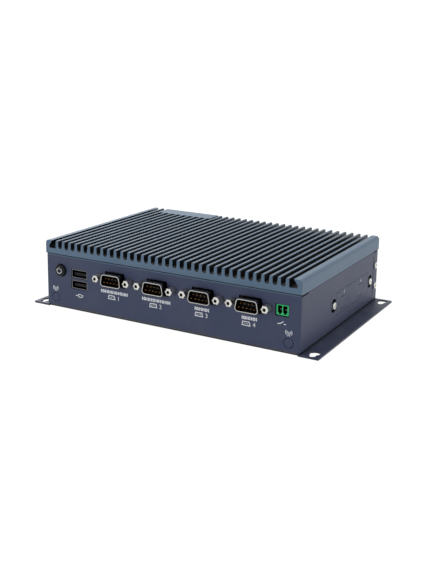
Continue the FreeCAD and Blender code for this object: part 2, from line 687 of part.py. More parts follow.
def build_rear_panel():
    """The rear panel: side tabs and a low lip folded forwards, and the rear sockets' windows."""
    body = new_body("rear_panel")

    def wrap(sketch):
        outline(sketch, [
            (f"-{SIDE}", REAR), (f"-{SIDE}", TAB_FRONT), (f"-{SIDE_INSIDE}", TAB_FRONT),
            (f"-{SIDE_INSIDE}", REAR_INSIDE), (SIDE_INSIDE, REAR_INSIDE),
            (SIDE_INSIDE, TAB_FRONT), (SIDE, TAB_FRONT), (SIDE, REAR)])

    slab(body, "wrap", "XY_Plane", CASE_LOW, "cover_underside - 0.1", wrap)
    round_edges(body, "upright_corners",
                lambda edge: runs_along(edge, "z") and near(edge.CenterOfMass.y, value(REAR)),
                "corner_radius")
    round_edges(body, "inside_corners",
                lambda edge: runs_along(edge, "z") and near(edge.CenterOfMass.y, value(REAR_INSIDE)),
                "corner_radius - sheet_gauge")
    slab(body, "low_lip", "XY_Plane", CASE_LOW, f"{CASE_LOW} + sheet_gauge",
         lambda sketch: rectangle(sketch, f"-{LIP_ENDS}", LIP_ENDS, f"{REAR} - lip_width - sheet_gauge",
                                  f"{REAR} - sheet_gauge / 2"))

    def tab_tops(sketch):
        for sign in ("", "-"):
            rectangle(sketch, f"{sign}({SIDE} + 1)", f"{sign}({SIDE_INSIDE} - 0.5)", f"{TAB_FRONT} - 1",
                      f"{REAR} - corner_radius")

    cut_through(body, "tab_tops", "XY_Plane", "cover_underside - 1", "cover_underside", tab_tops)
    round_edges(body, "low_fold",
                lambda edge: runs_along(edge, "x") and near(edge.CenterOfMass.y, value(REAR))
                and near(edge.CenterOfMass.z, value(CASE_LOW)), "fold_radius * 0.6")
    cut_through(body, "rear_windows", "XZ_Plane", f"{REAR_INSIDE} - 0.2", f"{REAR} + 1", draw_rear_windows)

    def tab_holes(sketch):
        for up in ("tab_screw_low", "tab_screw_high"):
            circle(sketch, "tab_screw_y", up, "through_radius")

    cut_through(body, "tab_holes", "YZ_Plane", f"-{SIDE} - 1", f"{SIDE} + 1", tab_holes)
    cut_through(body, "lip_holes", "XY_Plane", "0", f"{CASE_LOW} + sheet_gauge + 1",
                lambda sketch: draw_holes(sketch, PLATE_SCREWS_REAR, "tapped_radius"))
    return body


LAN_CENTRE = "(board_underside - lan_rise / 2)"
VIDEO_CENTRE = "(board_underside - 3.6)"
INLET_CENTRE = "(board_underside - 6.4)"


def draw_rear_windows(sketch):
    """Windows for two network sockets, two stacked bus sockets, a video socket and the power header."""
    gap = 0.3
    rim = gap + 0.5
    for shift in ("0", "lan_pitch"):
        rectangle(sketch, f"lan_x + {shift} - (lan_width / 2 + {gap})",
                  f"lan_x + {shift} + lan_width / 2 + {gap}",
                  f"{LAN_CENTRE} - (lan_rise / 2 + {gap})", f"{LAN_CENTRE} + lan_rise / 2 + {gap}")
    reach = "usb_wall + usb_cutout_gap"
    for centre in ("usb_high", "usb_high - usb_pitch"):
        rectangle(sketch, f"rear_usb_x - (usb_width / 2 + {reach})", f"rear_usb_x + usb_width / 2 + {reach}",
                  f"{centre} - (usb_height / 2 + {reach})", f"{centre} + usb_height / 2 + {reach}")
    rectangle(sketch, f"video_x - (video_width / 2 + {rim})", f"video_x + video_width / 2 + {rim}",
              f"{VIDEO_CENTRE} - (video_rise / 2 + {rim})", f"{VIDEO_CENTRE} + video_rise / 2 + {rim}")
    rectangle(sketch, "inlet_x - (inlet_pitch * 1.5 + 1)", "inlet_x + inlet_pitch * 1.5 + 1",
              f"{INLET_CENTRE} - (inlet_rise / 2 + {gap})", f"{INLET_CENTRE} + inlet_rise / 2 + {gap}")
    circle(sketch, "earth_x", "earth_height", "through_radius")


def build_side_hatch():
    """The flush hatch on the right wall, with two blanked port shapes cut as bridged slots."""
    body = new_body("side_hatch")
    slab(body, "plate", "YZ_Plane", SIDE_INSIDE, SIDE, draw_hatch_plate)

    def screw_holes(sketch):
        for sign in ("-", "+"):
            circle(sketch, f"hatch_y {sign} hatch_screw_reach", "hatch_height", "through_radius")

    cut_through(body, "screw_holes", "YZ_Plane", f"{SIDE_INSIDE} - 1", f"{SIDE} + 1", screw_holes)

    def blank_slots(sketch):
        """Slots along the bottom, the top and the slanted ends of each port shape."""
        for sign in ("-", "+"):
            centre = f"(hatch_y - 1 {sign} hatch_blank_pitch / 2)"
            up = "(hatch_height - 1.4)"
            long_half, short_half = "(d_width / 2 - 3)", "(d_width / 2 - 4.4)"
            for low, slot_half in (("-d_height / 2", long_half), ("d_height / 2", short_half)):
                rectangle(sketch, f"{centre} - {slot_half}", f"{centre} + {slot_half}",
                          f"{up} + {low} - 0.15", f"{up} + {low} + 0.15")
            for side in ("-", "+"):
                far, close = f"{side} (d_width / 2 - 0.4)", f"{side} (d_width / 2 - 1.1)"
                outline(sketch, [
                    (f"{centre} {far} - 0.15", f"{up} - 2"), (f"{centre} {far} + 0.15", f"{up} - 2"),
                    (f"{centre} {close} + 0.15", f"{up} + 2"), (f"{centre} {close} - 0.15", f"{up} + 2")])

    cut_through(body, "blank_slots", "YZ_Plane", f"{SIDE_INSIDE} - 1", f"{SIDE} + 1", blank_slots)
    return body


def build_hatch_frame():
    """The ring welded inside the right wall that the side hatch is screwed to."""
    body = new_body("hatch_frame")
    inner = f"({SIDE_INSIDE} - sheet_gauge)"
    slab(body, "ring", "YZ_Plane", inner, SIDE_INSIDE,
         lambda sketch: rectangle(sketch, "hatch_y - frame_reach", "hatch_y + frame_reach",
                                  "hatch_height - frame_rise", "hatch_height + frame_rise"))
    cut_through(body, "window", "YZ_Plane", f"{inner} - 1", f"{SIDE_INSIDE} + 1",
                lambda sketch: rectangle(sketch, "hatch_y - window_reach", "hatch_y + window_reach",
                                         "hatch_height - window_rise", "hatch_height + window_rise"))

    def tapped(sketch):
        for sign in ("-", "+"):
            circle(sketch, f"hatch_y {sign} hatch_screw_reach", "hatch_height", "tapped_radius")

    def slots(sketch):
        """Reliefs beside each tongue, behind the wall's round bays."""
        for sign in ("-", "+"):
            for low, high in (("-4.9", "-2.5"), ("+2.5", "+4.9")):
                rectangle(sketch, f"hatch_y {sign} 30.6", f"hatch_y {sign} 36.4",
                          f"hatch_height {low}", f"hatch_height {high}")

    cut_through(body, "tapped_holes", "YZ_Plane", f"{inner} - 1", f"{SIDE_INSIDE} + 1", tapped)
    cut_through(body, "bay_slots", "YZ_Plane", f"{inner} - 1", f"{SIDE_INSIDE} + 1", slots)
    return body


def build_rear_strips():
    """The two strips inside the side walls that the rear panel's tabs are screwed to."""
    strips = []
    for side, sign in (("right", ""), ("left", "-")):
        near_wall, far = f"{sign}{SIDE_INSIDE}", f"{sign}({SIDE_INSIDE} - sheet_gauge)"
        left, right = (far, near_wall) if side == "right" else (near_wall, far)
        strip = block(f"strip_{side}", left, right, f"{TAB_FRONT} - 2.6", f"{REAR_INSIDE} - 0.5",
                      "6", "cover_underside - 3.2")
        holes = [rod(f"strip_{side}_{up}", "right", f"{left} - 1", "tab_screw_y", up, "tapped_radius", "4")
                 for up in ("tab_screw_low", "tab_screw_high")]
        strips.append(without(f"strip_{side}_drilled", strip, holes))
    return group("rear_strips", strips)


# ----------------------------------------------------------------------------- fasteners
OPPOSITE = {"up": "down", "down": "up", "left": "right", "right": "left", "front": "rear", "rear": "front"}


def pan_screw(name, aim, across, along, up, length):
    """A pan-head M3 screw. The point is under its head, and it aims where its shank goes."""
    opposite = OPPOSITE[aim]
    head = rod(name + "_head", opposite, across, along, up, "screw_head", "screw_head_rise * 0.5")
    lift = f"screw_head_rise * 0.5 * {-1 if aim in ('up', 'right', 'rear') else 1}"
    crown_place = {
        "up": (across, along, f"{up} + {lift}"), "down": (across, along, f"{up} + {lift}"),
        "left": (f"{across} + {lift}", along, up), "right": (f"{across} + {lift}", along, up),
        "front": (across, f"{along} + {lift}", up), "rear": (across, f"{along} + {lift}", up)}[aim]
    crown = taper(name + "_crown", opposite, *crown_place, "screw_head", "screw_head - 0.7",
                  "screw_head_rise * 0.5")
    shank = rod(name + "_shank", aim, across, along, up, "screw_radius", length)
    return joined(name, [head, crown, shank])


def build_fasteners():
    """All loose screws, one node for each set of like ones."""
    tabs = []
    for side, sign in (("left", "-"), ("right", "")):
        aim = "right" if side == "left" else "left"
        for up in ("tab_screw_low", "tab_screw_high"):
            tabs.append(pan_screw(f"tab_screw_{side}_{up}", aim, f"{sign}{SIDE}", "tab_screw_y", up, "5"))
    group("tab_screws", tabs)

    hatch = [pan_screw(f"hatch_screw_{number}", "left", SIDE, f"hatch_y {sign} hatch_screw_reach",
                       "hatch_height", "5")
             for number, sign in enumerate(("-", "+"))]
    group("hatch_screws", hatch)

    plate = []
    for number, (across, along) in enumerate(PLATE_SCREWS_FRONT + PLATE_SCREWS_REAR):
        head = taper(f"plate_screw_head_{number}", "up", across, along, "0", "sunk_head",
                     "sunk_head - sheet_gauge", "sheet_gauge")
        shank = rod(f"plate_screw_shank_{number}", "up", across, along, "0", "screw_radius", "5")
        plate.append(joined(f"plate_screw_{number}", [head, shank]))
    group("plate_screws", plate)

    cover = [pan_screw(f"cover_screw_{number}", "up", across, along, "cover_underside - sheet_gauge", "4")
             for number, (across, along) in enumerate(COVER_SCREWS)]
    group("cover_screws", cover)

    spacers, board = [], []
    for number, (across, along) in enumerate(BOARD_SCREWS):
        low = "board_underside + board_gauge"
        bar = hexagon(f"spacer_bar_{number}", "up", across, along, low, "5", f"cover_underside - ({low})")
        stud = rod(f"spacer_stud_{number}", "up", across, along, "cover_underside - 0.5", "screw_radius",
                   "3.2")
        hole = rod(f"spacer_hole_{number}", "up", across, along, f"{low} - 1", "tapped_radius", "3.8")
        spacers.append(without(f"spacer_{number}", joined(f"spacer_whole_{number}", [bar, stud]), [hole]))
        board.append(pan_screw(f"board_screw_{number}", "up", across, along, "board_underside", "4"))
    group("board_spacers", spacers)
    group("board_screws", board)
    node(pan_screw("earth_screw_solid", "front", "earth_x", REAR, "earth_height", "5"), "earth_screw")
    nut_bar = hexagon("earth_nut_bar", "front", "earth_x", REAR_INSIDE, "earth_height", "5.5", "2.4")
    nut_hole = rod("earth_nut_hole", "front", "earth_x", REAR, "earth_height", "tapped_radius", "6")
    node(without("earth_nut_solid", nut_bar, [nut_hole]), "earth_nut")


# ----------------------------------------------------------------------------- serial ports
def d_corner_edge(edge, grow):
    """Whether an edge runs along a sharp upright corner of a D outline grown by so much."""
    across, up = abs(edge.CenterOfMass.x), edge.CenterOfMass.z
    wide, narrow = value(f"d_width / 2 + {grow}"), value(f"d_width / 2 - d_slant + {grow}")
    low = near(up, value(f"-d_height / 2 - ({grow})")) and near(across, wide)
    high = near(up, value(f"d_height / 2 + {grow}")) and near(across, narrow)
    return runs_along(edge, "y") and (low or high)


def build_serial_shell(number, port):
    """The drawn steel shell of a nine-pin port: a D-shaped tube on a flange behind the panel."""
    body = new_body(f"serial_shell_{number}")
    flange_rear = "sheet_gauge + d_flange_gauge"
    inward = "(0 - d_wall)"
    slab(body, "tube", "XZ_Plane", "-d_reach", flange_rear, lambda sketch: d_shape(sketch, "0", "0", "0"))

    def flange(sketch):
        rectangle(sketch, "-d_flange_width / 2", "d_flange_width / 2",
                  "-d_flange_height / 2", "d_flange_height / 2")

    slab(body, "flange", "XZ_Plane", "sheet_gauge", flange_rear, flange)
    cut_through(body, "bore", "XZ_Plane", "-d_reach - 1", f"{flange_rear} + 1",
                lambda sketch: d_shape(sketch, "0", "0", inward))
    round_edges(body, "bore_corners", lambda edge: d_corner_edge(edge, inward), "d_corner - d_wall")
    round_edges(body, "tube_corners", lambda edge: d_corner_edge(edge, "0"), "d_corner")

    def holes(sketch):
        for sign in ("-", ""):
            circle(sketch, f"{sign}jack_spacing / 2", "0", "through_radius")

    cut_through(body, "jack_holes", "XZ_Plane", "0", f"{flange_rear} + 1", holes)
    return place(body, port, FRONT, "port_height")


def serial_pin_places():
    """Nine pins: four in the upper row and five in the lower."""
    upper = [(f"pin_pitch * {step}", "row_pitch / 2") for step in (-1.5, -0.5, 0.5, 1.5)]
    lower = [(f"pin_pitch * {step}", "-row_pitch / 2") for step in (-2, -1, 0, 1, 2)]
    return upper + lower


def build_serial_mouldings():
    """Each port's black moulding: a D-shaped nose in the shell and a block up to the main board."""
    body = new_body("serial_mouldings")
    body.AllowCompound = True
    flange_rear = f"{FRONT_INSIDE} + d_flange_gauge"
    inset = "(0 - d_wall - 0.05)"

    def noses(sketch):
        for port in PORTS:
            d_shape(sketch, port, "port_height", inset)

    def rear_blocks(sketch):
        for port in PORTS:
            rectangle(sketch, f"{port} - 9.2", f"{port} + 9.2", "port_height - 5.2", "board_underside")

    def pin_holes(sketch):
        for port in PORTS:
            for across, up in serial_pin_places():
                circle(sketch, f"{port} + {across}", f"port_height + {up}", "pin_radius + 0.02")

    def nose_corner(edge):
        """Whether an edge runs along a corner of one of the four noses."""
        return runs_along(edge, "y")

    slab(body, "noses", "XZ_Plane", f"{FRONT} - 0.2", flange_rear, noses)
    round_edges(body, "nose_corners", nose_corner, "d_corner - d_wall - 0.05")
    slab(body, "rear_blocks", "XZ_Plane", flange_rear, f"{FRONT} + 12", rear_blocks)
    cut_through(body, "pin_holes", "XZ_Plane", f"{FRONT} - 1", f"{FRONT} + 13", pin_holes)


def build_serial_pins():
    """Nine turned pins in each port, with pointed tips, bent up to the main board at the back."""
    pins = []
    for number, port in enumerate(PORTS, start=1):
        for index, (across, up) in enumerate(serial_pin_places()):
            name = f"port_{number}_pin_{index}"
            across, up = f"{port} + {across}", f"port_height + {up}"
            leg_y = f"{FRONT} + {13.2 if index < 4 else 15.4}"
            shaft = rod(name + "_shaft", "rear", across, f"{FRONT} - d_reach + 1.1", up, "pin_radius",
                        f"{leg_y} - ({FRONT}) + d_reach - 1.1")
            tip = taper(name + "_tip", "front", across, f"{FRONT} - d_reach + 1.1", up,
                        "pin_radius", "0.2", "0.5")
            leg = block(name + "_leg", f"{across} - 0.35", f"{across} + 0.35", f"{leg_y} - 0.7", leg_y,
                        f"{up} - 0.3", "board_underside")
            pins.append(joined(name, [shaft, tip, leg]))
    group("serial_pins", pins)


def build_jackscrews():
    """The hexagonal jackscrews, two for each port, and the nuts that hold them behind the flange."""
    screws, nuts = [], []
    for number, port in enumerate(PORTS, start=1):
        for side, sign in (("left", "-"), ("right", "+")):
            name = f"jack_{number}_{side}"
            across = f"{port} {sign} jack_spacing / 2"
            bar = hexagon(name + "_bar", "front", across, FRONT, "port_height", "jack_flats",
                          "jack_reach - 0.5")
            crown = taper(name + "_crown", "front", across, f"{FRONT} - jack_reach + 0.5", "port_height",
                          "jack_flats / 2", "jack_flats / 2 - 0.5", "0.5")
            stud = rod(name + "_stud", "rear", across, f"{FRONT} - 0.5", "port_height", "screw_radius",
                       "6.5")
            thread = rod(name + "_thread", "rear", across, f"{FRONT} - jack_reach - 1", "port_height",
                         "jack_thread", "6")
            whole = joined(name + "_whole", [bar, crown, stud])
            screws.append(without(name, whole, [thread]))
            nut_front = f"{FRONT_INSIDE} + d_flange_gauge"
            nut = hexagon(name + "_nut_bar", "rear", across, nut_front, "port_height", "5.5", "2.4")
            bore = rod(name + "_nut_bore", "rear", across, f"{nut_front} - 1", "port_height",
                       "tapped_radius", "5")
            nuts.append(without(name + "_nut", nut, [bore]))
    group("jackscrews", screws)
    group("jackscrew_nuts", nuts)


# ----------------------------------------------------------------------------- other sockets
def build_bus_sockets(prefix, across, along, turn):
    """Two stacked bus sockets: a bent steel shell, black tongues and gold contacts.

    The local origin is the centre of the upper socket on the panel's outer face, mouth to -Y.
    """
    mouth = "0.35"
    roof = "board_underside - usb_high"
    half = "(usb_width / 2 + usb_wall)"
    rise = "(usb_height / 2 + usb_wall)"
    shell = [block(prefix + "_can", f"-{half}", half, "sheet_gauge + 0.15", "usb_length",
                   f"-usb_pitch - {rise}", roof)]
    hollows, tongues, contacts = [], [], []
    for level, up in (("upper", "0"), ("lower", "-usb_pitch")):
        name = f"{prefix}_{level}"
        shell.append(block(name + "_sleeve", f"-{half}", half, mouth, "sheet_gauge + 0.5",
                           f"{up} - {rise}", f"{up} + {rise}"))
        hollows.append(block(name + "_hollow", "-usb_width / 2", "usb_width / 2", "0", "usb_length - 1.5",
                             f"{up} - usb_height / 2", f"{up} + usb_height / 2"))
        wall = block(name + "_wall", "-usb_width / 2 + 0.05", "usb_width / 2 - 0.05",
                     "11", "usb_length - 1.5",
                     f"{up} - usb_height / 2 + 0.05", f"{up} + usb_height / 2 - 0.05")
        tongue = block(name + "_tongue", "-5.6", "5.6", "1.9", "12", f"{up} - 1.5", f"{up} + 0.34")
        tongues.append(joined(name + "_moulding", [wall, tongue]))
        for index, step in enumerate((-3.5, -1, 1, 3.5)):
            contacts.append(block(f"{name}_contact_{index}", f"{step} - 0.5", f"{step} + 0.5", "2.6", "10.9",
                                  f"{up} + 0.34", f"{up} + 0.6"))
    shell_whole = without(prefix + "_shell_solid", joined(prefix + "_shell_parts", shell), hollows)
    for item, kind in ((node(shell_whole, prefix + "_shell"), "shell"),
                       (group(prefix + "_tongues", tongues), "tongues"),
                       (group(prefix + "_contacts", contacts), "contacts")):
        place(item, across, along, "usb_high", turn)


def build_header(label, across, along, centre, pitch, rise, poles, turn):
    """A green plug-in header: one cell for each pole, with a pin bent up to the main board."""
    half = f"({pitch} * {poles} / 2 + 0.7)"
    shell = [block(label + "_box", f"-{half}", half, "0.6", "9.5", f"-({rise}) / 2", f"({rise}) / 2"),
             block(label + "_riser", f"-{half}", half, "4", "9.5", "0", f"board_underside - ({centre})")]
    cells, pins = [], []
    for index in range(poles):
        middle = f"{pitch} * {index - (poles - 1) / 2}"
        cells.append(block(f"{label}_cell_{index}", f"{middle} - ({pitch} / 2 - 0.35)",
                           f"{middle} + {pitch} / 2 - 0.35", "0", "8.3",
                           f"-({rise}) / 2 + 1.6", f"({rise}) / 2 - 0.7"))
        cells.append(block(f"{label}_key_{index}", f"{middle} - ({pitch} / 2 - 0.95)",
                           f"{middle} + {pitch} / 2 - 0.95", "0", "8.3", f"-({rise}) / 2 + 0.7", "0"))
        bar = block(f"{label}_pin_bar_{index}", f"{middle} - 0.4", f"{middle} + 0.4", "2", "11.5",
                    "-0.4", "0.4")
        leg = block(f"{label}_pin_leg_{index}", f"{middle} - 0.4", f"{middle} + 0.4", "10.7", "11.5", "-0.4",
                    f"board_underside - ({centre})")
        cells.append(block(f"{label}_pin_hole_{index}", f"{middle} - 0.42", f"{middle} + 0.42", "8", "10",
                           "-0.42", "0.42"))
        pins.append(joined(f"{label}_pin_{index}", [bar, leg]))
    housing = without(label + "_solid", joined(label + "_parts", shell), cells)
    place(node(housing, label), across, along, centre, turn)
    place(group(label + "_pins", pins), across, along, centre, turn)


def build_network_sockets():
    """Two shielded network sockets on the rear panel, each with its moulding and eight contacts."""
    wires = []
    for number, shift in ((1, "0"), (2, "lan_pitch")):
        name = f"network_socket_{number}"
        half, tall = "lan_width / 2", "lan_rise / 2"
        can = block(name + "_can", f"-{half}", half, "-0.3", "lan_length", f"-{tall}", tall)
        inside = block(name + "_inside", f"-{half} + 0.3", f"{half} - 0.3", "-1", "lan_length - 0.3",
                       f"-{tall} + 0.3", f"{tall} - 0.3")
        shell = node(without(name + "_can_open", can, [inside]), name + "_shell")
        filling = block(name + "_filling", f"-{half} + 0.35", f"{half} - 0.35", "0", "lan_length - 0.3",
                        f"-{tall} + 0.35", f"{tall} - 0.35")
        cavity = block(name + "_cavity", "-5.9", "5.9", "-1", "13", "-3.4", "4.4")
        latch = block(name + "_latch", "-3.1", "3.1", "-1", "13", "-5", "-3")
        stop = block(name + "_stop", "-1.7", "1.7", "-1", "13", "-6", "-4.5")
        insert = node(without(name + "_moulding", filling, [cavity, latch, stop]), name + "_insert")
        for index in range(8):
            wire = block(f"{name}_wire_{index}", "-0.2", "0.2", "3", "12.9", "3.7", "4.4")
            wires.append(place(wire, f"lan_x + {shift} + 1.02 * {index - 3.5} + 0.2", f"{REAR} - 3",
                               f"{LAN_CENTRE} + 3.7", 180))
        for item in (shell, insert):
            place(item, f"lan_x + {shift}", REAR, LAN_CENTRE, 180)
    group("network_contacts", wires)


def build_video_socket():
    """A video socket on the rear panel: a shell with two clipped corners and a blade of contacts."""
    body = new_body("video_socket_shell")
    half, tall = "video_width / 2", "video_rise / 2"

    def mouth(sketch, grow):
        outline(sketch, [
            (f"-({half} - 2.2 + {grow} * 0.5)", f"-({tall} + {grow})"),
            (f"{half} - 2.2 + {grow} * 0.5", f"-({tall} + {grow})"),
            (f"{half} + {grow}", f"-({tall} - 2)"), (f"{half} + {grow}", f"{tall} + {grow}"),
            (f"-({half} + {grow})", f"{tall} + {grow}"), (f"-({half} + {grow})", f"-({tall} - 2)")])

    slab(body, "shell", "XZ_Plane", "0.2", "12", lambda sketch: mouth(sketch, 0.4))
    slab(body, "can", "XZ_Plane", "2", "12",
         lambda sketch: rectangle(sketch, f"-{half} - 0.4", f"{half} + 0.4",
                                  "0", f"board_underside - {VIDEO_CENTRE}"))
    cut_through(body, "hollow", "XZ_Plane", "-1", "10.5", lambda sketch: mouth(sketch, 0))
    place(body, "video_x", REAR, VIDEO_CENTRE, 180)
    blade = joined("video_blade_solid", [
        block("video_blade", "-6", "6", "2", "8", "-0.1", "0.9"),
        block("video_blade_root", "-6.2", "6.2", "8", "10.5", "-0.7", f"{tall} - 0.05")])
    place(node(blade, "video_socket_blade"), "video_x", REAR, VIDEO_CENTRE, 180)


# ----------------------------------------------------------------------------- power button
def build_power_button():
    """The round power button, its guide behind the panel, and the switch that it presses."""
    body = new_body("power_button")
    flange_front = "5"

    def half_section(sketch):
        """Half of the turned form, radius across and depth up, from the face to the stem's end."""
        outline(sketch, [
            ("0", "-button_reach"), ("button_radius - 1", "-button_reach", "0.12"),
            ("button_radius - 0.12", "-button_reach + 0.8"), ("button_radius", "-button_reach + 1.1"),
            ("button_radius", flange_front), ("button_radius + 0.9", flange_front),
            ("button_radius + 0.9", f"{flange_front} + 0.9"), ("1.4", f"{flange_front} + 0.9"),
            ("1.4", "7.4"), ("0", "7.4")])

    sketch = body.newObject("Sketcher::SketchObject", "half_section")
    sketch.AttachmentSupport = [(origin_plane(body, "XY_Plane"), "")]
    sketch.MapMode = "FlatFace"
    half_section(sketch)
    turned = body.newObject("PartDesign::Revolution", "turned")
    turned.Profile = sketch
    turned.ReferenceAxis = (sketch, ["V_Axis"])
    turned.Angle = 360
    document.recompute()
    place(body, "button_x", FRONT, "port_height")

    tube = rod("guide_tube", "rear", "button_x", FRONT_INSIDE, "port_height",
               "button_radius + guide_wall", "3.8")
    arm = block("guide_arm", "button_x - 3", "button_x + 3",
                f"{FRONT_INSIDE} + 1.2", f"{FRONT_INSIDE} + 3.8",
                "port_height + button_radius", "board_underside - 0.02")
    bore = rod("guide_bore", "rear", "button_x", f"{FRONT_INSIDE} - 1", "port_height",
               "button_radius + 0.1", "6")
    node(without("guide_solid", joined("guide_parts", [tube, arm]), [bore]), "button_guide")

    switch_front = f"{FRONT} + 9.6"
    case = block("switch_case", "button_x - 3", "button_x + 3", switch_front, f"{switch_front} + 3.5",
                 "port_height - 3", "board_underside")
    socket = rod("switch_socket", "rear", "button_x", f"{switch_front} - 1", "port_height", "1.68", "3.6")
    node(without("switch_solid", case, [socket]), "power_switch")
    plunger = rod("plunger_rod", "rear", "button_x", f"{FRONT} + 7.4", "port_height", "1.6", "3.5")
    node(plunger, "switch_plunger")


# ----------------------------------------------------------------------------- electronics
def build_electronics():
    """The main board under the cover, with what it carries on both faces."""
    low, high = "board_underside", "(board_underside + board_gauge)"
    front = f"({FRONT} + 18)"
    board = block("board_blank", "-board_width / 2", "board_width / 2", front, "board_depth / 2", low, high)
    tongue = block("board_tongue", "-board_width / 2", "board_width / 2", f"{FRONT} + 2.2", f"{FRONT} + 19",
                   low, high)
    holes = [rod(f"board_hole_{number}", "up", across, along, "board_underside - 1", "through_radius", "4")
             for number, (across, along) in enumerate(BOARD_SCREWS)]
    node(without("board_solid", joined("board_parts", [board, tongue]), holes), "main_board")

    node(block("package", "-22", "6", "-20", "4", high, f"{high} + 1.2"), "processor")
    node(block("pad", "-20", "4", "-18", "2", f"{high} + 1.2", f"{high} + 1.7"), "thermal_pad")
    node(block("spreader", "-32", "16", "-28", "12", f"{high} + 1.7", "cover_underside"), "heat_spreader")

    slot = block("memory_slot", "-74", "-3", "-6", "0", f"{low} - 5.2", low)
    key = block("memory_slot_key", "-72.3", "-4.7", "-7", "-3", f"{low} - 4.2", f"{low} - 2.9")
    node(without("memory_socket_solid", slot, [key]), "memory_socket")
    stick = block("memory_stick", "-72.2", "-4.8", "-36", "-3", f"{low} - 4.15", f"{low} - 2.95")
    chips = [block(f"memory_chip_{index}", f"-68 + {15 * index}", f"-57 + {15 * index}", "-30", "-16",
                   f"{low} - 5.15", f"{low} - 4.15") for index in range(4)]
    node(joined("memory_solid", [stick] + chips), "memory_module")

    drive_slot = block("drive_slot", "14", "20", "4", "26", f"{low} - 4.2", low)
    drive_mouth = block("drive_mouth", "17", "21", "4.9", "25.1", f"{low} - 3.3", f"{low} - 2.4")
    node(without("drive_socket_solid", drive_slot, [drive_mouth]), "drive_socket")
    card = block("drive_card", "17.05", "78", "5", "25", f"{low} - 3.25", f"{low} - 2.45")
    chip_solids = [block(f"drive_chip_{index}", f"26 + {17 * index}", f"38 + {17 * index}", "8", "22",
                         f"{low} - 4.35", f"{low} - 3.25") for index in range(3)]
    node(joined("drive_solid", [card] + chip_solids), "storage_card")
    post = rod("drive_post_rod", "down", "75", "15", low, "2.6", "2.45")
    node(post, "storage_post")

    holder = rod("cell_holder_rod", "down", "52", "-20", low, "11.4", "2")
    rim = rod("cell_rim", "down", "52", "-20", f"{low} - 1", "10.1", "2")
    node(without("cell_holder_solid", holder, [rim]), "cell_holder")
    node(rod("cell", "down", "52", "-20", f"{low} - 1", "10", "3.2"), "coin_cell")

    coils = [block(f"coil_{index}", f"-82 + {13 * index}", f"-71 + {13 * index}", "24", "35",
                   f"{low} - 5", low)
             for index in range(3)]
    group("power_coils", coils)
    cans = [rod(f"capacitor_{index}", "down", f"-78 + {12 * index}", "14", low, "4", "9.5")
            for index in range(3)]
    group("capacitors", cans)


# ----------------------------------------------------------------------------- assembly
def nodes_of_document():
    """Every labelled sub-part: the bodies, and the solids and groups that nothing else uses."""
    return [item for item in document.Objects
            if item.TypeId == "PartDesign::Body" or item.TypeId.startswith("Part::") and not item.InList]


def check_and_export():
    """Stop at any failed object or bad shape, then write one STEP file for each node."""
    document.recompute()
    for item in document.Objects:
        if {"Invalid", "Error"} & set(item.State):
            raise RuntimeError(f"{item.Label} failed: {item.State}")
    for item in nodes_of_document():
        shape = item.Shape
        if shape.isNull() or not shape.isValid() or not shape.Solids:
            raise RuntimeError(f"{item.Label} has no valid solid")
    for item in nodes_of_document():
        item.Shape.exportStep(f"parts/{item.Label}.step")
        print(f"{item.Label}: {len(item.Shape.Solids)} solids, {item.Shape.Volume / 1000:.2f} cm3")


build_cover()
build_case()
build_base_plate()
build_rear_panel()
build_side_hatch()
build_hatch_frame()
build_rear_strips()
build_fasteners()
for port_number, port_word in enumerate(PORTS, start=1):
    build_serial_shell(port_number, port_word)
build_serial_mouldings()
build_serial_pins()
build_jackscrews()
build_bus_sockets("front_bus", "usb_x", FRONT, 0)
build_bus_sockets("rear_bus", "rear_usb_x", REAR, 180)
build_header("switch_header", "header_x", FRONT, "header_height", "header_pitch", "header_rise", 2, 0)
build_header("power_header", "inlet_x", REAR, INLET_CENTRE, "inlet_pitch", "inlet_rise", 3, 180)
build_network_sockets()
build_video_socket()
build_power_button()
build_electronics()
check_and_export()
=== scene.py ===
"""Dresses the fanless industrial PC: coats, metals, mouldings, screw heads, printed marks, studio.

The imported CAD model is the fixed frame. It is in metres, X along the front panel, Y from front to
rear and Z up, with its origin in the middle of the base plate's underside.
"""
import math

import bpy
import numpy as np
from bpy.props import FloatProperty, FloatVectorProperty, IntProperty, PointerProperty
from mathutils import Matrix, Vector


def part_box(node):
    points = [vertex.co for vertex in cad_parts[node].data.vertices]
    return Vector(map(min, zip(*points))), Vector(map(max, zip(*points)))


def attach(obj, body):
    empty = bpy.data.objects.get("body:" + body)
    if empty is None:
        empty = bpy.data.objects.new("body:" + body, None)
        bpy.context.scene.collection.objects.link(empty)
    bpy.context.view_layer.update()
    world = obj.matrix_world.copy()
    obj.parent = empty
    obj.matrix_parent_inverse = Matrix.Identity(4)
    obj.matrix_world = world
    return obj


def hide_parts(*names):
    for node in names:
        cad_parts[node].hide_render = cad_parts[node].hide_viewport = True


bl_info = {
    "name": "Fanless Industrial PC",
    "version": (1, 0, 0),
    "blender": (4, 5, 0),
    "location": "View3D > Sidebar > Industrial PC",
    "description": "Finishes, printed marks and studio for a fanless industrial computer",
    "category": "Object",
}

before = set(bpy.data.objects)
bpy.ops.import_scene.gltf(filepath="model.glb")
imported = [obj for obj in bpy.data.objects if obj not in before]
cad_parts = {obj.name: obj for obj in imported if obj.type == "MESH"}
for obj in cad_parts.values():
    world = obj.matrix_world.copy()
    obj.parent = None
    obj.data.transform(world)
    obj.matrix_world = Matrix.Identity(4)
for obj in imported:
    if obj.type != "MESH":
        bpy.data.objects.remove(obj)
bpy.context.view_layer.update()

MM = 0.001
HOUSING = "housing"
BUTTON = "push_button"
FRONT_FACE = float(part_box("case_shell")[0][1])
REAR_FACE = float(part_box("rear_panel")[1][1])
RIGHT_FACE = float(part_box("case_shell")[1][0])
INK_THICKNESS = 0.03 * MM
DUST_COLOUR = (0.32, 0.31, 0.30)
LAMP_TARGET = (0, 0, 0.03)


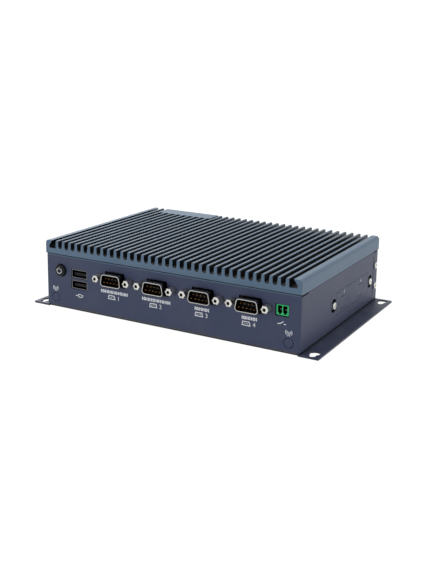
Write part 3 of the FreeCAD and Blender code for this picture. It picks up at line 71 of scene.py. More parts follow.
def middle(node):
    """The centre of a CAD node's box, in metres."""
    low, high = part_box(node)
    return (np.array(low) + np.array(high)) / 2


def srgb(red, green, blue):
    """Linear colour of an 8-bit display colour: c/12.92 below 0.04045, else ((c+0.055)/1.055)^2.4."""
    shown = np.array([red, green, blue]) / 255
    low, high = shown / 12.92, ((shown + 0.055) / 1.055) ** 2.4
    return tuple(float(part) for part in np.where(shown < 0.04045, low, high))


# ----------------------------------------------------------------------------- settings
class PcCoatSettings(bpy.types.PropertyGroup):
    """Colours and grain of the painted and coated sheets."""

    cover_colour: FloatVectorProperty(
        name="Cover", description="Coat of the finned cover", subtype="COLOR", size=3,
        min=0, max=1, default=srgb(84, 108, 131))
    case_colour: FloatVectorProperty(
        name="Case", description="Powder coat of the folded case and its plates", subtype="COLOR",
        size=3, min=0, max=1, default=srgb(44, 53, 81))
    grain_size: FloatProperty(
        name="Grain", description="Size of the powder coat's grain", subtype="DISTANCE",
        unit="LENGTH", min=0.00005, max=0.005, default=0.00045)
    edge_width: FloatProperty(
        name="Edge", description="How far wear reaches in from an edge", subtype="DISTANCE",
        unit="LENGTH", min=0.00002, max=0.002, default=0.00025)


class PcMetalSettings(bpy.types.PropertyGroup):
    """Colours of bare and plated metals."""

    zinc_colour: FloatVectorProperty(
        name="Zinc", description="Plated screws and jackscrews", subtype="COLOR", size=3,
        min=0, max=1, default=srgb(214, 212, 206))
    nickel_colour: FloatVectorProperty(
        name="Nickel", description="Drawn shells of the sockets", subtype="COLOR", size=3,
        min=0, max=1, default=srgb(184, 183, 178))
    # Painted shade: a darker copy of the nickel, for the bus sockets' shells.
    bus_colour: FloatVectorProperty(
        name="Bus shell", description="Duller shells of the bus sockets", subtype="COLOR", size=3,
        min=0, max=1, default=srgb(132, 134, 140))
    gold_colour: FloatVectorProperty(
        name="Gold", description="Plated contacts", subtype="COLOR", size=3,
        min=0, max=1, default=srgb(160, 112, 52))
    aluminium_colour: FloatVectorProperty(
        name="Aluminium", description="Bare spreader and capacitor cans", subtype="COLOR", size=3,
        min=0, max=1, default=srgb(205, 207, 210))


class PcPlasticSettings(bpy.types.PropertyGroup):
    """Colours of mouldings and laminates."""

    black_colour: FloatVectorProperty(
        name="Black", description="Connector mouldings and chips", subtype="COLOR", size=3,
        min=0, max=1, default=srgb(17, 17, 20))
    button_colour: FloatVectorProperty(
        name="Button", description="Power button", subtype="COLOR", size=3,
        min=0, max=1, default=srgb(9, 11, 17))
    green_colour: FloatVectorProperty(
        name="Green", description="Plug-in headers", subtype="COLOR", size=3,
        min=0, max=1, default=srgb(44, 190, 112))
    laminate_colour: FloatVectorProperty(
        name="Laminate", description="Circuit boards", subtype="COLOR", size=3,
        min=0, max=1, default=srgb(24, 84, 52))
    pad_colour: FloatVectorProperty(
        name="Pad", description="Soft thermal pad", subtype="COLOR", size=3,
        min=0, max=1, default=srgb(140, 155, 165))


class PcPrintSettings(bpy.types.PropertyGroup):
    """The printed marks."""

    ink_colour: FloatVectorProperty(
        name="Ink", description="Ink of the printed marks", subtype="COLOR", size=3,
        min=0, max=1, default=srgb(244, 248, 255))
    stroke: FloatProperty(
        name="Stroke", description="Width of a printed line", subtype="DISTANCE", unit="LENGTH",
        min=0.0001, max=0.002, default=0.00056)
    numeral_height: FloatProperty(
        name="Numeral", description="Height of a printed numeral", subtype="DISTANCE",
        unit="LENGTH", min=0.001, max=0.01, default=0.0029)


class PcScrewSettings(bpy.types.PropertyGroup):
    """The cross-recessed screw heads."""

    head_radius: FloatProperty(
        name="Head radius", description="Radius of a screw head", subtype="DISTANCE",
        unit="LENGTH", min=0.001, max=0.01, default=0.0024)
    head_rise: FloatProperty(
        name="Head rise", description="Height of a screw head", subtype="DISTANCE",
        unit="LENGTH", min=0.0005, max=0.005, default=0.0011)
    recess_depth: FloatProperty(
        name="Recess depth", description="Depth of the cross recess", subtype="DISTANCE",
        unit="LENGTH", min=0.0001, max=0.003, default=0.0007)
    rings: IntProperty(name="Rings", description="Rows from a head's middle to its rim",
                       min=8, max=120, default=34)
    spokes: IntProperty(name="Spokes", description="Columns round a head", min=24, max=360, default=96)


class PcStudioSettings(bpy.types.PropertyGroup):
    """Camera, lamps and floor."""

    azimuth: FloatProperty(
        name="Azimuth", description="Camera's turn to the right of the front view",
        subtype="ANGLE", unit="ROTATION", default=math.radians(29.57))
    elevation: FloatProperty(
        name="Elevation", description="How far the camera looks down", subtype="ANGLE", unit="ROTATION",
        default=math.radians(11.28))
    roll: FloatProperty(
        name="Roll", description="Camera's turn about its own line of sight", subtype="ANGLE",
        unit="ROTATION", default=math.radians(0.66))
    distance: FloatProperty(
        name="Distance", description="From the camera to the anchor point along its line of sight",
        subtype="DISTANCE", unit="LENGTH", default=0.57354)
    anchor: FloatVectorProperty(
        name="Anchor", description="Point of the case that the camera is set by",
        subtype="TRANSLATION", unit="LENGTH", size=3, default=(0.0017, -0.068, 0.040))
    anchor_offset: FloatVectorProperty(
        name="Anchor offset", description="Where the anchor lies right of and above the line of sight",
        subtype="TRANSLATION", unit="LENGTH", size=2, default=(-0.03131, -0.04224))
    lens: FloatProperty(
        name="Lens", description="Focal length on a 36 mm sensor", subtype="DISTANCE_CAMERA",
        unit="CAMERA", default=55.70)
    lens_shift: FloatProperty(
        name="Lens shift", description="How far the camera's frame is moved down, as a share of it",
        min=-2, max=2, default=-0.14)
    ambient: FloatProperty(
        name="Ambient", description="Strength of the even light from all round", min=0, max=2,
        default=0.3)
    top_power: FloatProperty(
        name="Top lamp", description="Power of the high lamp behind on the left", subtype="POWER",
        unit="POWER", min=0, default=9.5)
    front_power: FloatProperty(
        name="Front lamp", description="Power of the lamp at the front left", subtype="POWER",
        unit="POWER", min=0, default=10.5)
    side_power: FloatProperty(
        name="Side lamp", description="Power of the lamp on the right", subtype="POWER",
        unit="POWER", min=0, default=6.0)


SETTINGS = {
    "pc_coat": PcCoatSettings,
    "pc_metal": PcMetalSettings,
    "pc_plastic": PcPlasticSettings,
    "pc_print": PcPrintSettings,
    "pc_screw": PcScrewSettings,
    "pc_studio": PcStudioSettings,
}


# ----------------------------------------------------------------------------- node helpers
def add_node(tree, kind, inputs=None, **fields):
    """A shader node with its fields set, and its inputs given as values or as sockets."""
    node = tree.nodes.new(kind)
    for field, content in fields.items():
        setattr(node, field, content)
    for socket, content in (inputs or {}).items():
        if isinstance(content, bpy.types.NodeSocket):
            tree.links.new(content, node.inputs[socket])
        else:
            node.inputs[socket].default_value = content
    return node


def maths(tree, operation, first, second=0.0, clamp=False):
    """The output of a Math node."""
    node = add_node(tree, "ShaderNodeMath", {0: first, 1: second}, operation=operation)
    node.use_clamp = clamp
    return node.outputs[0]


def ramp(tree, fac, low, high):
    """0 at low, 1 at high, smooth between."""
    node = add_node(tree, "ShaderNodeMapRange", {0: fac, 1: low, 2: high}, interpolation_type="SMOOTHSTEP")
    return node.outputs[0]


def mix_colour(tree, fac, first, second, blend="MIX"):
    """The output of a colour Mix node."""
    node = add_node(tree, "ShaderNodeMix", data_type="RGBA", blend_type=blend)
    for socket, content in ((0, fac), (6, first), (7, second)):
        if isinstance(content, bpy.types.NodeSocket):
            tree.links.new(content, node.inputs[socket])
        else:
            node.inputs[socket].default_value = content
    return node.outputs[2]


def place_vector(tree, stretch=(1, 1, 1)):
    """Object coordinates in metres, stretched along each axis."""
    coordinates = add_node(tree, "ShaderNodeTexCoord").outputs["Object"]
    return add_node(tree, "ShaderNodeMapping", {"Vector": coordinates, "Scale": stretch}).outputs[0]


def noise(tree, vector, scale, detail=3.0, roughness=0.55):
    """A noise's value from 0 to 1."""
    return add_node(tree, "ShaderNodeTexNoise", {
        "Vector": vector, "Scale": scale, "Detail": detail, "Roughness": roughness}).outputs[0]


def new_group(name, inputs, outputs):
    """An empty shader group with float inputs and named outputs, and its two end nodes."""
    group = bpy.data.node_groups.new(name, "ShaderNodeTree")
    for label, default in inputs:
        socket = group.interface.new_socket(label, in_out="INPUT", socket_type="NodeSocketFloat")
        socket.default_value = default
    for label, kind in outputs:
        group.interface.new_socket(label, in_out="OUTPUT", socket_type=kind)
    return group, group.nodes.new("NodeGroupInput"), group.nodes.new("NodeGroupOutput")


def grain_group():
    """Powder grain: fine and coarser noise added up, as a height, and a speckle for the colour."""
    group, given, result = new_group(
        "coat_grain", [("Fineness", 2200.0)],
        [("Height", "NodeSocketFloat"), ("Speckle", "NodeSocketFloat"), ("Cloud", "NodeSocketFloat")])
    place = place_vector(group)
    fine = noise(group, place, given.outputs["Fineness"], 2.0)
    coarse = noise(group, place, maths(group, "MULTIPLY", given.outputs["Fineness"], 0.28), 2.0)
    height = maths(group, "ADD", maths(group, "MULTIPLY", fine, 0.6), maths(group, "MULTIPLY", coarse, 0.4))
    group.links.new(height, result.inputs["Height"])
    group.links.new(ramp(group, fine, 0.35, 0.75), result.inputs["Speckle"])
    group.links.new(noise(group, place, 26.0, 4.0), result.inputs["Cloud"])
    return group


def edge_group():
    """Edges: how far a rounded normal leans from the flat one, broken up by noise, as a mask."""
    group, given, result = new_group(
        "edge_wear", [("Width", 0.0003), ("Patchiness", 0.5)],
        [("Mask", "NodeSocketFloat"), ("Normal", "NodeSocketVector")])
    rounded = add_node(group, "ShaderNodeBevel", {"Radius": given.outputs["Width"]}, samples=4)
    flat = add_node(group, "ShaderNodeNewGeometry").outputs["Normal"]
    lean = add_node(group, "ShaderNodeVectorMath", {0: rounded.outputs[0], 1: flat}, operation="DOT_PRODUCT")
    edge = ramp(group, maths(group, "SUBTRACT", 1.0, lean.outputs["Value"]), 0.02, 0.22)
    patches = ramp(group, noise(group, place_vector(group), 170.0, 5.0, 0.7), 0.42, 0.62)
    kept = maths(group, "SUBTRACT", 1.0, maths(group, "MULTIPLY", given.outputs["Patchiness"],
                                               maths(group, "SUBTRACT", 1.0, patches)))
    group.links.new(maths(group, "MULTIPLY", edge, kept, True), result.inputs["Mask"])
    group.links.new(rounded.outputs[0], result.inputs["Normal"])
    return group


def streak_group():
    """Drawing or turning marks: noise pulled out along one axis, as a height and a mask."""
    group, given, result = new_group(
        "drawn_streaks", [("Across", 3500.0), ("Along", 60.0)],
        [("Height", "NodeSocketFloat"), ("Mask", "NodeSocketFloat")])
    stretch = add_node(group, "ShaderNodeCombineXYZ", {
        "X": given.outputs["Across"], "Y": given.outputs["Along"], "Z": given.outputs["Across"]})
    coordinates = add_node(group, "ShaderNodeTexCoord").outputs["Object"]
    pulled = add_node(group, "ShaderNodeVectorMath", {0: coordinates, 1: stretch.outputs[0]},
                      operation="MULTIPLY")
    lines = noise(group, pulled.outputs[0], 1.0, 3.0, 0.6)
    group.links.new(lines, result.inputs["Height"])
    group.links.new(ramp(group, lines, 0.4, 0.65), result.inputs["Mask"])
    return group


def dust_group():
    """Settled dust: soft patches, thicker on faces that look up, as a mask."""
    group, given, result = new_group("settled_dust", [("Amount", 0.3)], [("Mask", "NodeSocketFloat")])
    normal = add_node(group, "ShaderNodeNewGeometry").outputs["Normal"]
    up = add_node(group, "ShaderNodeSeparateXYZ", {0: normal})
    level = ramp(group, up.outputs["Z"], 0.3, 1.0)
    share = maths(group, "ADD", maths(group, "MULTIPLY", level, 0.7), 0.3)
    patches = ramp(group, noise(group, place_vector(group), 42.0, 6.0, 0.65), 0.38, 0.8)
    cover = maths(group, "MULTIPLY", patches, share)
    amount = maths(group, "MULTIPLY", cover, given.outputs["Amount"], True)
    group.links.new(amount, result.inputs["Mask"])
    return group


def recess_group():
    """How open a place is: 0 deep in a gap, 1 in the open, from the light that can reach it."""
    group, given, result = new_group(
        "recess_shade", [("Reach", 0.006), ("Closed", 0.5), ("Open", 0.9)], [("Open", "NodeSocketFloat")])
    open_share = add_node(group, "ShaderNodeAmbientOcclusion", {"Distance": given.outputs["Reach"]},
                          samples=8)
    mask = ramp(group, open_share.outputs["AO"], given.outputs["Closed"], given.outputs["Open"])
    group.links.new(mask, result.inputs["Open"])
    return group


GROUPS = {"coat_grain": grain_group, "edge_wear": edge_group, "drawn_streaks": streak_group,
          "settled_dust": dust_group, "recess_shade": recess_group}


def use_group(tree, name, **values):
    """A shared group, built when first needed, placed in a material with its own values."""
    node = tree.nodes.new("ShaderNodeGroup")
    node.node_tree = bpy.data.node_groups.get(name) or GROUPS[name]()
    for label, content in values.items():
        node.inputs[label].default_value = content
    return node


def opaque(colour, shade=1.0):
    """A colour with its alpha, darker or lighter by a factor."""
    return tuple(min(1.0, part * shade) for part in colour) + (1.0,)


def new_material(name, roughness, metallic=0.0, specular=0.5, coat=0.0, coat_roughness=0.2):
    """A material with one Principled BSDF, whose even values are set on the shader's own sockets."""
    material = bpy.data.materials.new(name)
    material.use_nodes = True
    shader = material.node_tree.nodes["Principled BSDF"]
    even_values = {"Roughness": roughness, "Metallic": metallic, "Specular IOR Level": specular,
                   "Coat Weight": coat, "Coat Roughness": coat_roughness}
    for socket, content in even_values.items():
        shader.inputs[socket].default_value = content
    return material, material.node_tree, shader


def link_bump(tree, shader, height, depth, normal=None):
    """Raise the shader's normal by a height, of this depth in metres."""
    bump = add_node(tree, "ShaderNodeBump", {"Strength": 1.0, "Distance": depth, "Height": height})
    if normal:
        tree.links.new(normal, bump.inputs["Normal"])
    tree.links.new(bump.outputs[0], shader.inputs["Normal"])


# ----------------------------------------------------------------------------- finishes
def darken_recesses(tree, tone, colour, recess):
    """Painted shade: the tone falls to a share of the colour in gaps; recess is (reach, closed, open,
    share).
    """
    reach, closed, opened, share = recess
    openness = use_group(tree, "recess_shade", Reach=reach, Closed=closed, Open=opened)
    return mix_colour(tree, openness.outputs["Open"], opaque(colour, share), tone)


def seam_band(tree, low, high):
    """1 on the front panel between two heights, 0 elsewhere: where a painted seam line goes."""
    coordinates = add_node(tree, "ShaderNodeTexCoord").outputs["Object"]
    place = add_node(tree, "ShaderNodeSeparateXYZ", {0: coordinates})
    above = maths(tree, "GREATER_THAN", place.outputs["Z"], low)
    below = maths(tree, "LESS_THAN", place.outputs["Z"], high)
    front = maths(tree, "LESS_THAN", place.outputs["Y"], FRONT_FACE + 0.6 * MM)
    return maths(tree, "MULTIPLY", maths(tree, "MULTIPLY", above, below), front)


def coated_material(name, colour, grain_size, edge_width, roughness, metallic, recess, painted_seam_bands):
    """A coat on metal: grain, cloudy tone, rubbed edges, a little dust and painted shade in recesses.

    Each band is a (low, high, colour) line painted along the front panel as the seam's shadow and the fold's
    highlight.
    """
    material, tree, shader = new_material(name, roughness, metallic, 0.5)
    grain = use_group(tree, "coat_grain", Fineness=1.0 / grain_size)
    edges = use_group(tree, "edge_wear", Width=edge_width, Patchiness=0.55)
    dust = use_group(tree, "settled_dust", Amount=0.16)
    tone = mix_colour(tree, grain.outputs["Cloud"], opaque(colour, 0.93), opaque(colour, 1.07))
    speckle = maths(tree, "MULTIPLY", grain.outputs["Speckle"], 0.16)
    tone = mix_colour(tree, speckle, tone, opaque(colour, 1.45))
    tone = mix_colour(tree, maths(tree, "MULTIPLY", edges.outputs["Mask"], 0.45), tone, opaque(colour, 1.9))
    tone = mix_colour(tree, dust.outputs["Mask"], tone, opaque(DUST_COLOUR))
    # Painted shade: the coat darkens in gaps and hollows.
    tone = darken_recesses(tree, tone, colour, recess)
    # Painted lines at the seam: a dark one for its shadow and a light one for the fold's highlight.
    for low, high, band_colour in painted_seam_bands:
        tone = mix_colour(tree, seam_band(tree, low, high), tone, opaque(band_colour))
    tree.links.new(tone, shader.inputs["Base Color"])
    rough = maths(tree, "ADD", maths(tree, "MULTIPLY", grain.outputs["Cloud"], 0.16), roughness - 0.08)
    rough = maths(tree, "ADD", rough, maths(tree, "MULTIPLY", dust.outputs["Mask"], 0.25), True)
    tree.links.new(rough, shader.inputs["Roughness"])
    link_bump(tree, shader, grain.outputs["Height"], 0.00002, edges.outputs["Normal"])
    return material


def metal_material(name, colour, roughness, across, along, tarnish=0.25,
                   recess=(0.006, 0.5, 0.92, 0.05)):
    """Plated or bare metal: drawn streaks, a little tarnish in clouds, rounded edges, painted shade in
    recesses.
    """
    material, tree, shader = new_material(name, roughness, 1.0, 0.5)
    lines = use_group(tree, "drawn_streaks", Across=across, Along=along)
    edges = use_group(tree, "edge_wear", Width=0.00012, Patchiness=0.2)
    grain = use_group(tree, "coat_grain", Fineness=900.0)
    tarnish_and_shade = maths(tree, "MULTIPLY", ramp(tree, grain.outputs["Cloud"], 0.45, 0.75), tarnish)
    tone = mix_colour(tree, tarnish_and_shade, opaque(colour), opaque(colour, 0.6))
    tone = mix_colour(tree, maths(tree, "MULTIPLY", lines.outputs["Mask"], 0.22), tone, opaque(colour, 0.78))
    # Painted shade: the metal darkens in gaps and holes.
    tone = darken_recesses(tree, tone, colour, recess)
    tree.links.new(tone, shader.inputs["Base Color"])
    rough = maths(tree, "ADD", maths(tree, "MULTIPLY", lines.outputs["Mask"], 0.12), roughness - 0.05)
    rough = maths(tree, "ADD", rough, maths(tree, "MULTIPLY", tarnish_and_shade, 0.6), True)
    tree.links.new(rough, shader.inputs["Roughness"])
    link_bump(tree, shader, lines.outputs["Height"], 0.000012, edges.outputs["Normal"])
    return material


def moulded_material(name, colour, roughness, fineness=1800.0, specular=0.5,
                     recess=(0.004, 0.2, 0.8, 0.6)):
    """Moulded plastic: a fine spark-eroded grain, faint flow clouds, polished edges, painted shade in
    recesses.
    """
    material, tree, shader = new_material(name, roughness, 0.0, specular)
    grain = use_group(tree, "coat_grain", Fineness=fineness)
    edges = use_group(tree, "edge_wear", Width=0.00015, Patchiness=0.3)
    tone = mix_colour(tree, grain.outputs["Cloud"], opaque(colour, 0.9), opaque(colour, 1.12))
    tone = mix_colour(tree, maths(tree, "MULTIPLY", edges.outputs["Mask"], 0.3), tone, opaque(colour, 1.6))
    # Painted shade: the moulding darkens in gaps and cells.
    tone = darken_recesses(tree, tone, colour, recess)
    tree.links.new(tone, shader.inputs["Base Color"])
    worn = maths(tree, "MULTIPLY", edges.outputs["Mask"], -0.12)
    rough = maths(tree, "ADD", maths(tree, "MULTIPLY", grain.outputs["Speckle"], 0.1), roughness - 0.03)
    tree.links.new(maths(tree, "ADD", rough, worn, True), shader.inputs["Roughness"])
    link_bump(tree, shader, grain.outputs["Height"], 0.000015, edges.outputs["Normal"])
    return material


def laminate_material(name, colour):
    """A lacquered circuit board: copper tracks under the lacquer as a darker checker of thin lines."""
    material, tree, shader = new_material(name, 0.35, 0.0, 0.5, coat=0.4, coat_roughness=0.15)
    place = place_vector(tree)
    tracks = add_node(tree, "ShaderNodeTexBrick", {
        "Vector": place, "Scale": 170.0, "Mortar Size": 0.03, "Color1": opaque(colour),
        "Color2": opaque(colour, 0.85), "Mortar": opaque(colour, 1.6)}, offset=0.37, squash=1.4)
    grain = use_group(tree, "coat_grain", Fineness=1500.0)
    tone = mix_colour(tree, maths(tree, "MULTIPLY", grain.outputs["Speckle"], 0.2),
                      tracks.outputs["Color"], opaque(colour, 1.3))
    tree.links.new(tone, shader.inputs["Base Color"])
    tree.links.new(maths(tree, "ADD", maths(tree, "MULTIPLY", grain.outputs["Cloud"], 0.2), 0.25),
                   shader.inputs["Roughness"])
    link_bump(tree, shader, tracks.outputs["Fac"], 0.00002)
    return material


def ink_material(name, colour):
    """Pad-printed ink: slightly uneven cover and a soft sheen."""
    material, tree, shader = new_material(name, 0.5, 0.0, 0.4)
    grain = use_group(tree, "coat_grain", Fineness=2600.0)
    tone = mix_colour(tree, grain.outputs["Speckle"], opaque(colour, 0.86), opaque(colour, 1.04))
    tree.links.new(tone, shader.inputs["Base Color"])
    tree.links.new(maths(tree, "ADD", maths(tree, "MULTIPLY", grain.outputs["Cloud"], 0.2), 0.4),
                   shader.inputs["Roughness"])
    link_bump(tree, shader, grain.outputs["Height"], 0.000008)
    return material


def dress(material, *nodes):
    """Give CAD nodes this material."""
    for name in nodes:
        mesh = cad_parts[name].data
        mesh.materials.clear()
        mesh.materials.append(material)


# ----------------------------------------------------------------------------- mesh helpers
def finished_piece(name, points, faces, material, body=HOUSING, smooth=False):
    """A new object at the origin from its points and faces, riding on a body."""
    mesh = bpy.data.meshes.new(name)
    mesh.from_pydata(np.asarray(points).tolist(), [], faces)
    mesh.materials.append(material)
    mesh.polygons.foreach_set("use_smooth", np.full(len(mesh.polygons), smooth))
    mesh.update()
    piece = bpy.data.objects.new(name, mesh)
    bpy.context.scene.collection.objects.link(piece)
    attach(piece, body)
    return piece


def ribbon(path, width, thickness, closed=False):
    """A printed line: a path carried sideways by half its width both ways and raised by its thickness.

    At each point the sideways direction is the mean tangent turned by a quarter, lengthened at
    corners by 1/cos of half the bend, so the line keeps its width. Points are (u, v, height).
    """
    path = np.asarray(path, float)
    ahead = np.roll(path, -1, 0) - path
    behind = path - np.roll(path, 1, 0)
    if not closed:
        ahead[-1], behind[0] = behind[-1], ahead[0]
    ahead /= np.linalg.norm(ahead, axis=1)[:, None]
    behind /= np.linalg.norm(behind, axis=1)[:, None]
    tangent = ahead + behind
    tangent /= np.linalg.norm(tangent, axis=1)[:, None]
    stretch = 1 / np.clip(np.sum(tangent * ahead, axis=1), 0.5, 1)
    aside = np.column_stack([-tangent[:, 1], tangent[:, 0]]) * (stretch * width / 2)[:, None]
    count = len(path)
    rails = [np.column_stack([path + side * aside, np.full(count, level)])
             for side, level in ((-1, 0), (1, 0), (1, thickness), (-1, thickness))]
    points = np.stack(rails, axis=1).reshape(-1, 3)
    steps = np.arange(count if closed else count - 1)
    after = (steps + 1) % count
    quads = np.vstack([np.column_stack([steps * 4 + rail, after * 4 + rail,
                                        after * 4 + (rail + 1) % 4, steps * 4 + (rail + 1) % 4])
                       for rail in range(4)])
    if not closed:
        last = (count - 1) * 4
        quads = np.vstack([quads, [[0, 1, 2, 3], [last + 3, last + 2, last + 1, last]]])
    return points, quads[:, ::-1]


def arc_path(centre, radius, start, end, steps=28):
    """Points on a circle: centre + radius (cos a, sin a) for angles from start to end in degrees."""
    angles = np.radians(np.linspace(start, end, steps))
    return np.column_stack([centre[0] + radius * np.cos(angles), centre[1] + radius * np.sin(angles)])


def rounded_path(centre, width, height, power=4.0, steps=40):
    """A superellipse: |2x/width|^power + |2y/height|^power = 1."""
    angles = np.linspace(0, 2 * np.pi, steps, endpoint=False)
    across, up = np.cos(angles), np.sin(angles)
    bend = 2 / power
    return np.column_stack([centre[0] + width / 2 * np.sign(across) * np.abs(across) ** bend,
                            centre[1] + height / 2 * np.sign(up) * np.abs(up) ** bend])


def front_place(marks):
    """Marks drawn as (u, v, height) put on the front panel: x = u, y = front - height, z = v."""
    return np.column_stack([marks[:, 0], FRONT_FACE - marks[:, 2], marks[:, 1]])


def right_place(marks):
    """Marks drawn as (u, v, height) put on the right wall: x = wall + height, y = u, z = v."""
    return np.column_stack([RIGHT_FACE + marks[:, 2], marks[:, 0], marks[:, 1]])


def numeral(text, centre, height):
    """A numeral as (points, triangles), drawn with the built-in typeface and raised as ink."""
    curve = bpy.data.curves.new("numeral", "FONT")
    curve.body, curve.size, curve.extrude = text, height / 0.7, INK_THICKNESS / 2
    curve.align_x = "CENTER"
    source = bpy.data.objects.new("numeral", curve)
    mesh = bpy.data.meshes.new_from_object(source)
    mesh.calc_loop_triangles()
    points = np.zeros(len(mesh.vertices) * 3)
    mesh.vertices.foreach_get("co", points)
    triangles = np.zeros(len(mesh.loop_triangles) * 3, int)
    mesh.loop_triangles.foreach_get("vertices", triangles)
    points = points.reshape(-1, 3) + [centre[0], centre[1] - height / 2, INK_THICKNESS / 2]
    bpy.data.objects.remove(source)
    bpy.data.curves.remove(curve)
    bpy.data.meshes.remove(mesh)
    return points, triangles.reshape(-1, 3)


def printed_piece(name, lines, numerals, place, body):
    """One piece from printed lines (quads) and numerals (triangles), put on its face."""
    settings = bpy.context.scene.pc_print
    material = bpy.data.materials.get("printed_ink") or ink_material("printed_ink", settings.ink_colour)
    points, faces, start = [], [], 0
    for part_points, part_faces in lines + numerals:
        points.append(part_points)
        faces += (np.asarray(part_faces) + start).tolist()
        start += len(part_points)
    return finished_piece(name, place(np.vstack(points)), faces, material, body)


# ----------------------------------------------------------------------------- operators
class PcCoatOperator(bpy.types.Operator):
    """Coat the finned cover and the folded steel sheets."""

    bl_idname = "pc.coat_sheets"
    bl_label = "Coat Cover and Case"

    def execute(self, context):
        coat = context.scene.pc_coat
        seam = float(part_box("finned_cover")[0][2])
        # Painted lines at the seam under the cover: a dark one for the shadow in the gap, a light one for
        # the highlight on the case's fold.
        seam_shadow_colour = np.array(coat.case_colour) * 0.2
        fold_highlight_colour = np.array(coat.cover_colour) * 0.8
        cover_seam_shadow = (seam - 1 * MM, seam + 0.3 * MM, seam_shadow_colour)
        case_seam_shadow = (seam - 0.35 * MM, seam + 1 * MM, seam_shadow_colour)
        case_fold_highlight = (seam - 0.95 * MM, seam - 0.35 * MM, fold_highlight_colour)
        # The last tuple of each coat sets its painted shade in gaps; the cover's fin flanks fall nearly to
        # black.
        cover = coated_material("cover_coat", coat.cover_colour, coat.grain_size * 0.7, coat.edge_width,
                                0.45, 0.15, (0.012, 0.66, 0.97, 0.015), [cover_seam_shadow])
        case = coated_material("case_coat", coat.case_colour, coat.grain_size, coat.edge_width,
                               0.5, 0.0, (0.006, 0.35, 0.8, 0.08), [case_fold_highlight, case_seam_shadow])
        dress(cover, "finned_cover")
        dress(case, "case_shell", "base_plate", "rear_panel", "side_hatch", "hatch_frame", "rear_strips")
        return {"FINISHED"}


class PcMetalOperator(bpy.types.Operator):
    """Plate the screws, the sockets' shells and the contacts."""

    bl_idname = "pc.plate_metals"
    bl_label = "Plate Metals"

    def execute(self, context):
        metal = context.scene.pc_metal
        # Each recess tuple sets the painted shade in the metal's gaps and holes.
        zinc = metal_material("zinc_plate", metal.zinc_colour, 0.32, 5200.0, 900.0,
                              recess=(0.003, 0.2, 0.8, 0.4))
        nickel = metal_material("nickel_plate", metal.nickel_colour, 0.26, 4200.0, 120.0, 0.2,
                                recess=(0.008, 0.6, 0.97, 0.03))
        # The bus shells take a darker copy of the nickel: painted shade.
        tarnish_and_shade = metal_material("shaded_nickel", metal.bus_colour, 0.36, 4200.0, 120.0, 0.3,
                              recess=(0.008, 0.55, 0.97, 0.05))
        gold = metal_material("gold_plate", metal.gold_colour, 0.3, 6000.0, 300.0, 0.15)
        bare = metal_material("bare_aluminium", metal.aluminium_colour, 0.36, 3000.0, 30.0, 0.2)
        dress(zinc, "plate_screws", "cover_screws", "board_spacers", "board_screws", "earth_nut",
              "jackscrews", "jackscrew_nuts", "coin_cell")
        shells = [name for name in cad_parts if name.endswith("_shell") and name != "case_shell"]
        dress(nickel, *shells, *(f"serial_shell_{number}" for number in range(1, 5)),
              "switch_header_pins", "power_header_pins")
        dress(tarnish_and_shade, "front_bus_shell", "rear_bus_shell")
        dress(gold, "serial_pins", "front_bus_contacts", "rear_bus_contacts", "network_contacts",
              "storage_post")
        dress(bare, "heat_spreader", "capacitors")
        return {"FINISHED"}


class PcPlasticOperator(bpy.types.Operator):
    """Colour the mouldings, the button, the headers and the boards."""

    bl_idname = "pc.colour_mouldings"
    bl_label = "Colour Mouldings"

    def execute(self, context):
        plastic = context.scene.pc_plastic
        black = moulded_material("black_moulding", plastic.black_colour, 0.5, specular=0.25)
        button = moulded_material("button_moulding", plastic.button_colour, 0.5, specular=0.25)
        # Painted shade: the headers' cells fall nearly to black.
        green = moulded_material("green_moulding", plastic.green_colour, 0.38, 1400.0,
                                 recess=(0.006, 0.55, 0.9, 0.03))
        pad = moulded_material("thermal_pad", plastic.pad_colour, 0.8, 700.0, 0.3)
        laminate = laminate_material("board_laminate", plastic.laminate_colour)
        dress(black, "serial_mouldings", "front_bus_tongues", "rear_bus_tongues", "network_socket_1_insert",
              "network_socket_2_insert", "video_socket_blade", "power_switch", "switch_plunger",
              "memory_socket", "drive_socket", "cell_holder", "processor", "power_coils", "button_guide")
        dress(button, "power_button")
        dress(green, "switch_header", "power_header")
        dress(pad, "thermal_pad")
        dress(laminate, "main_board", "memory_module", "storage_card")
        return {"FINISHED"}


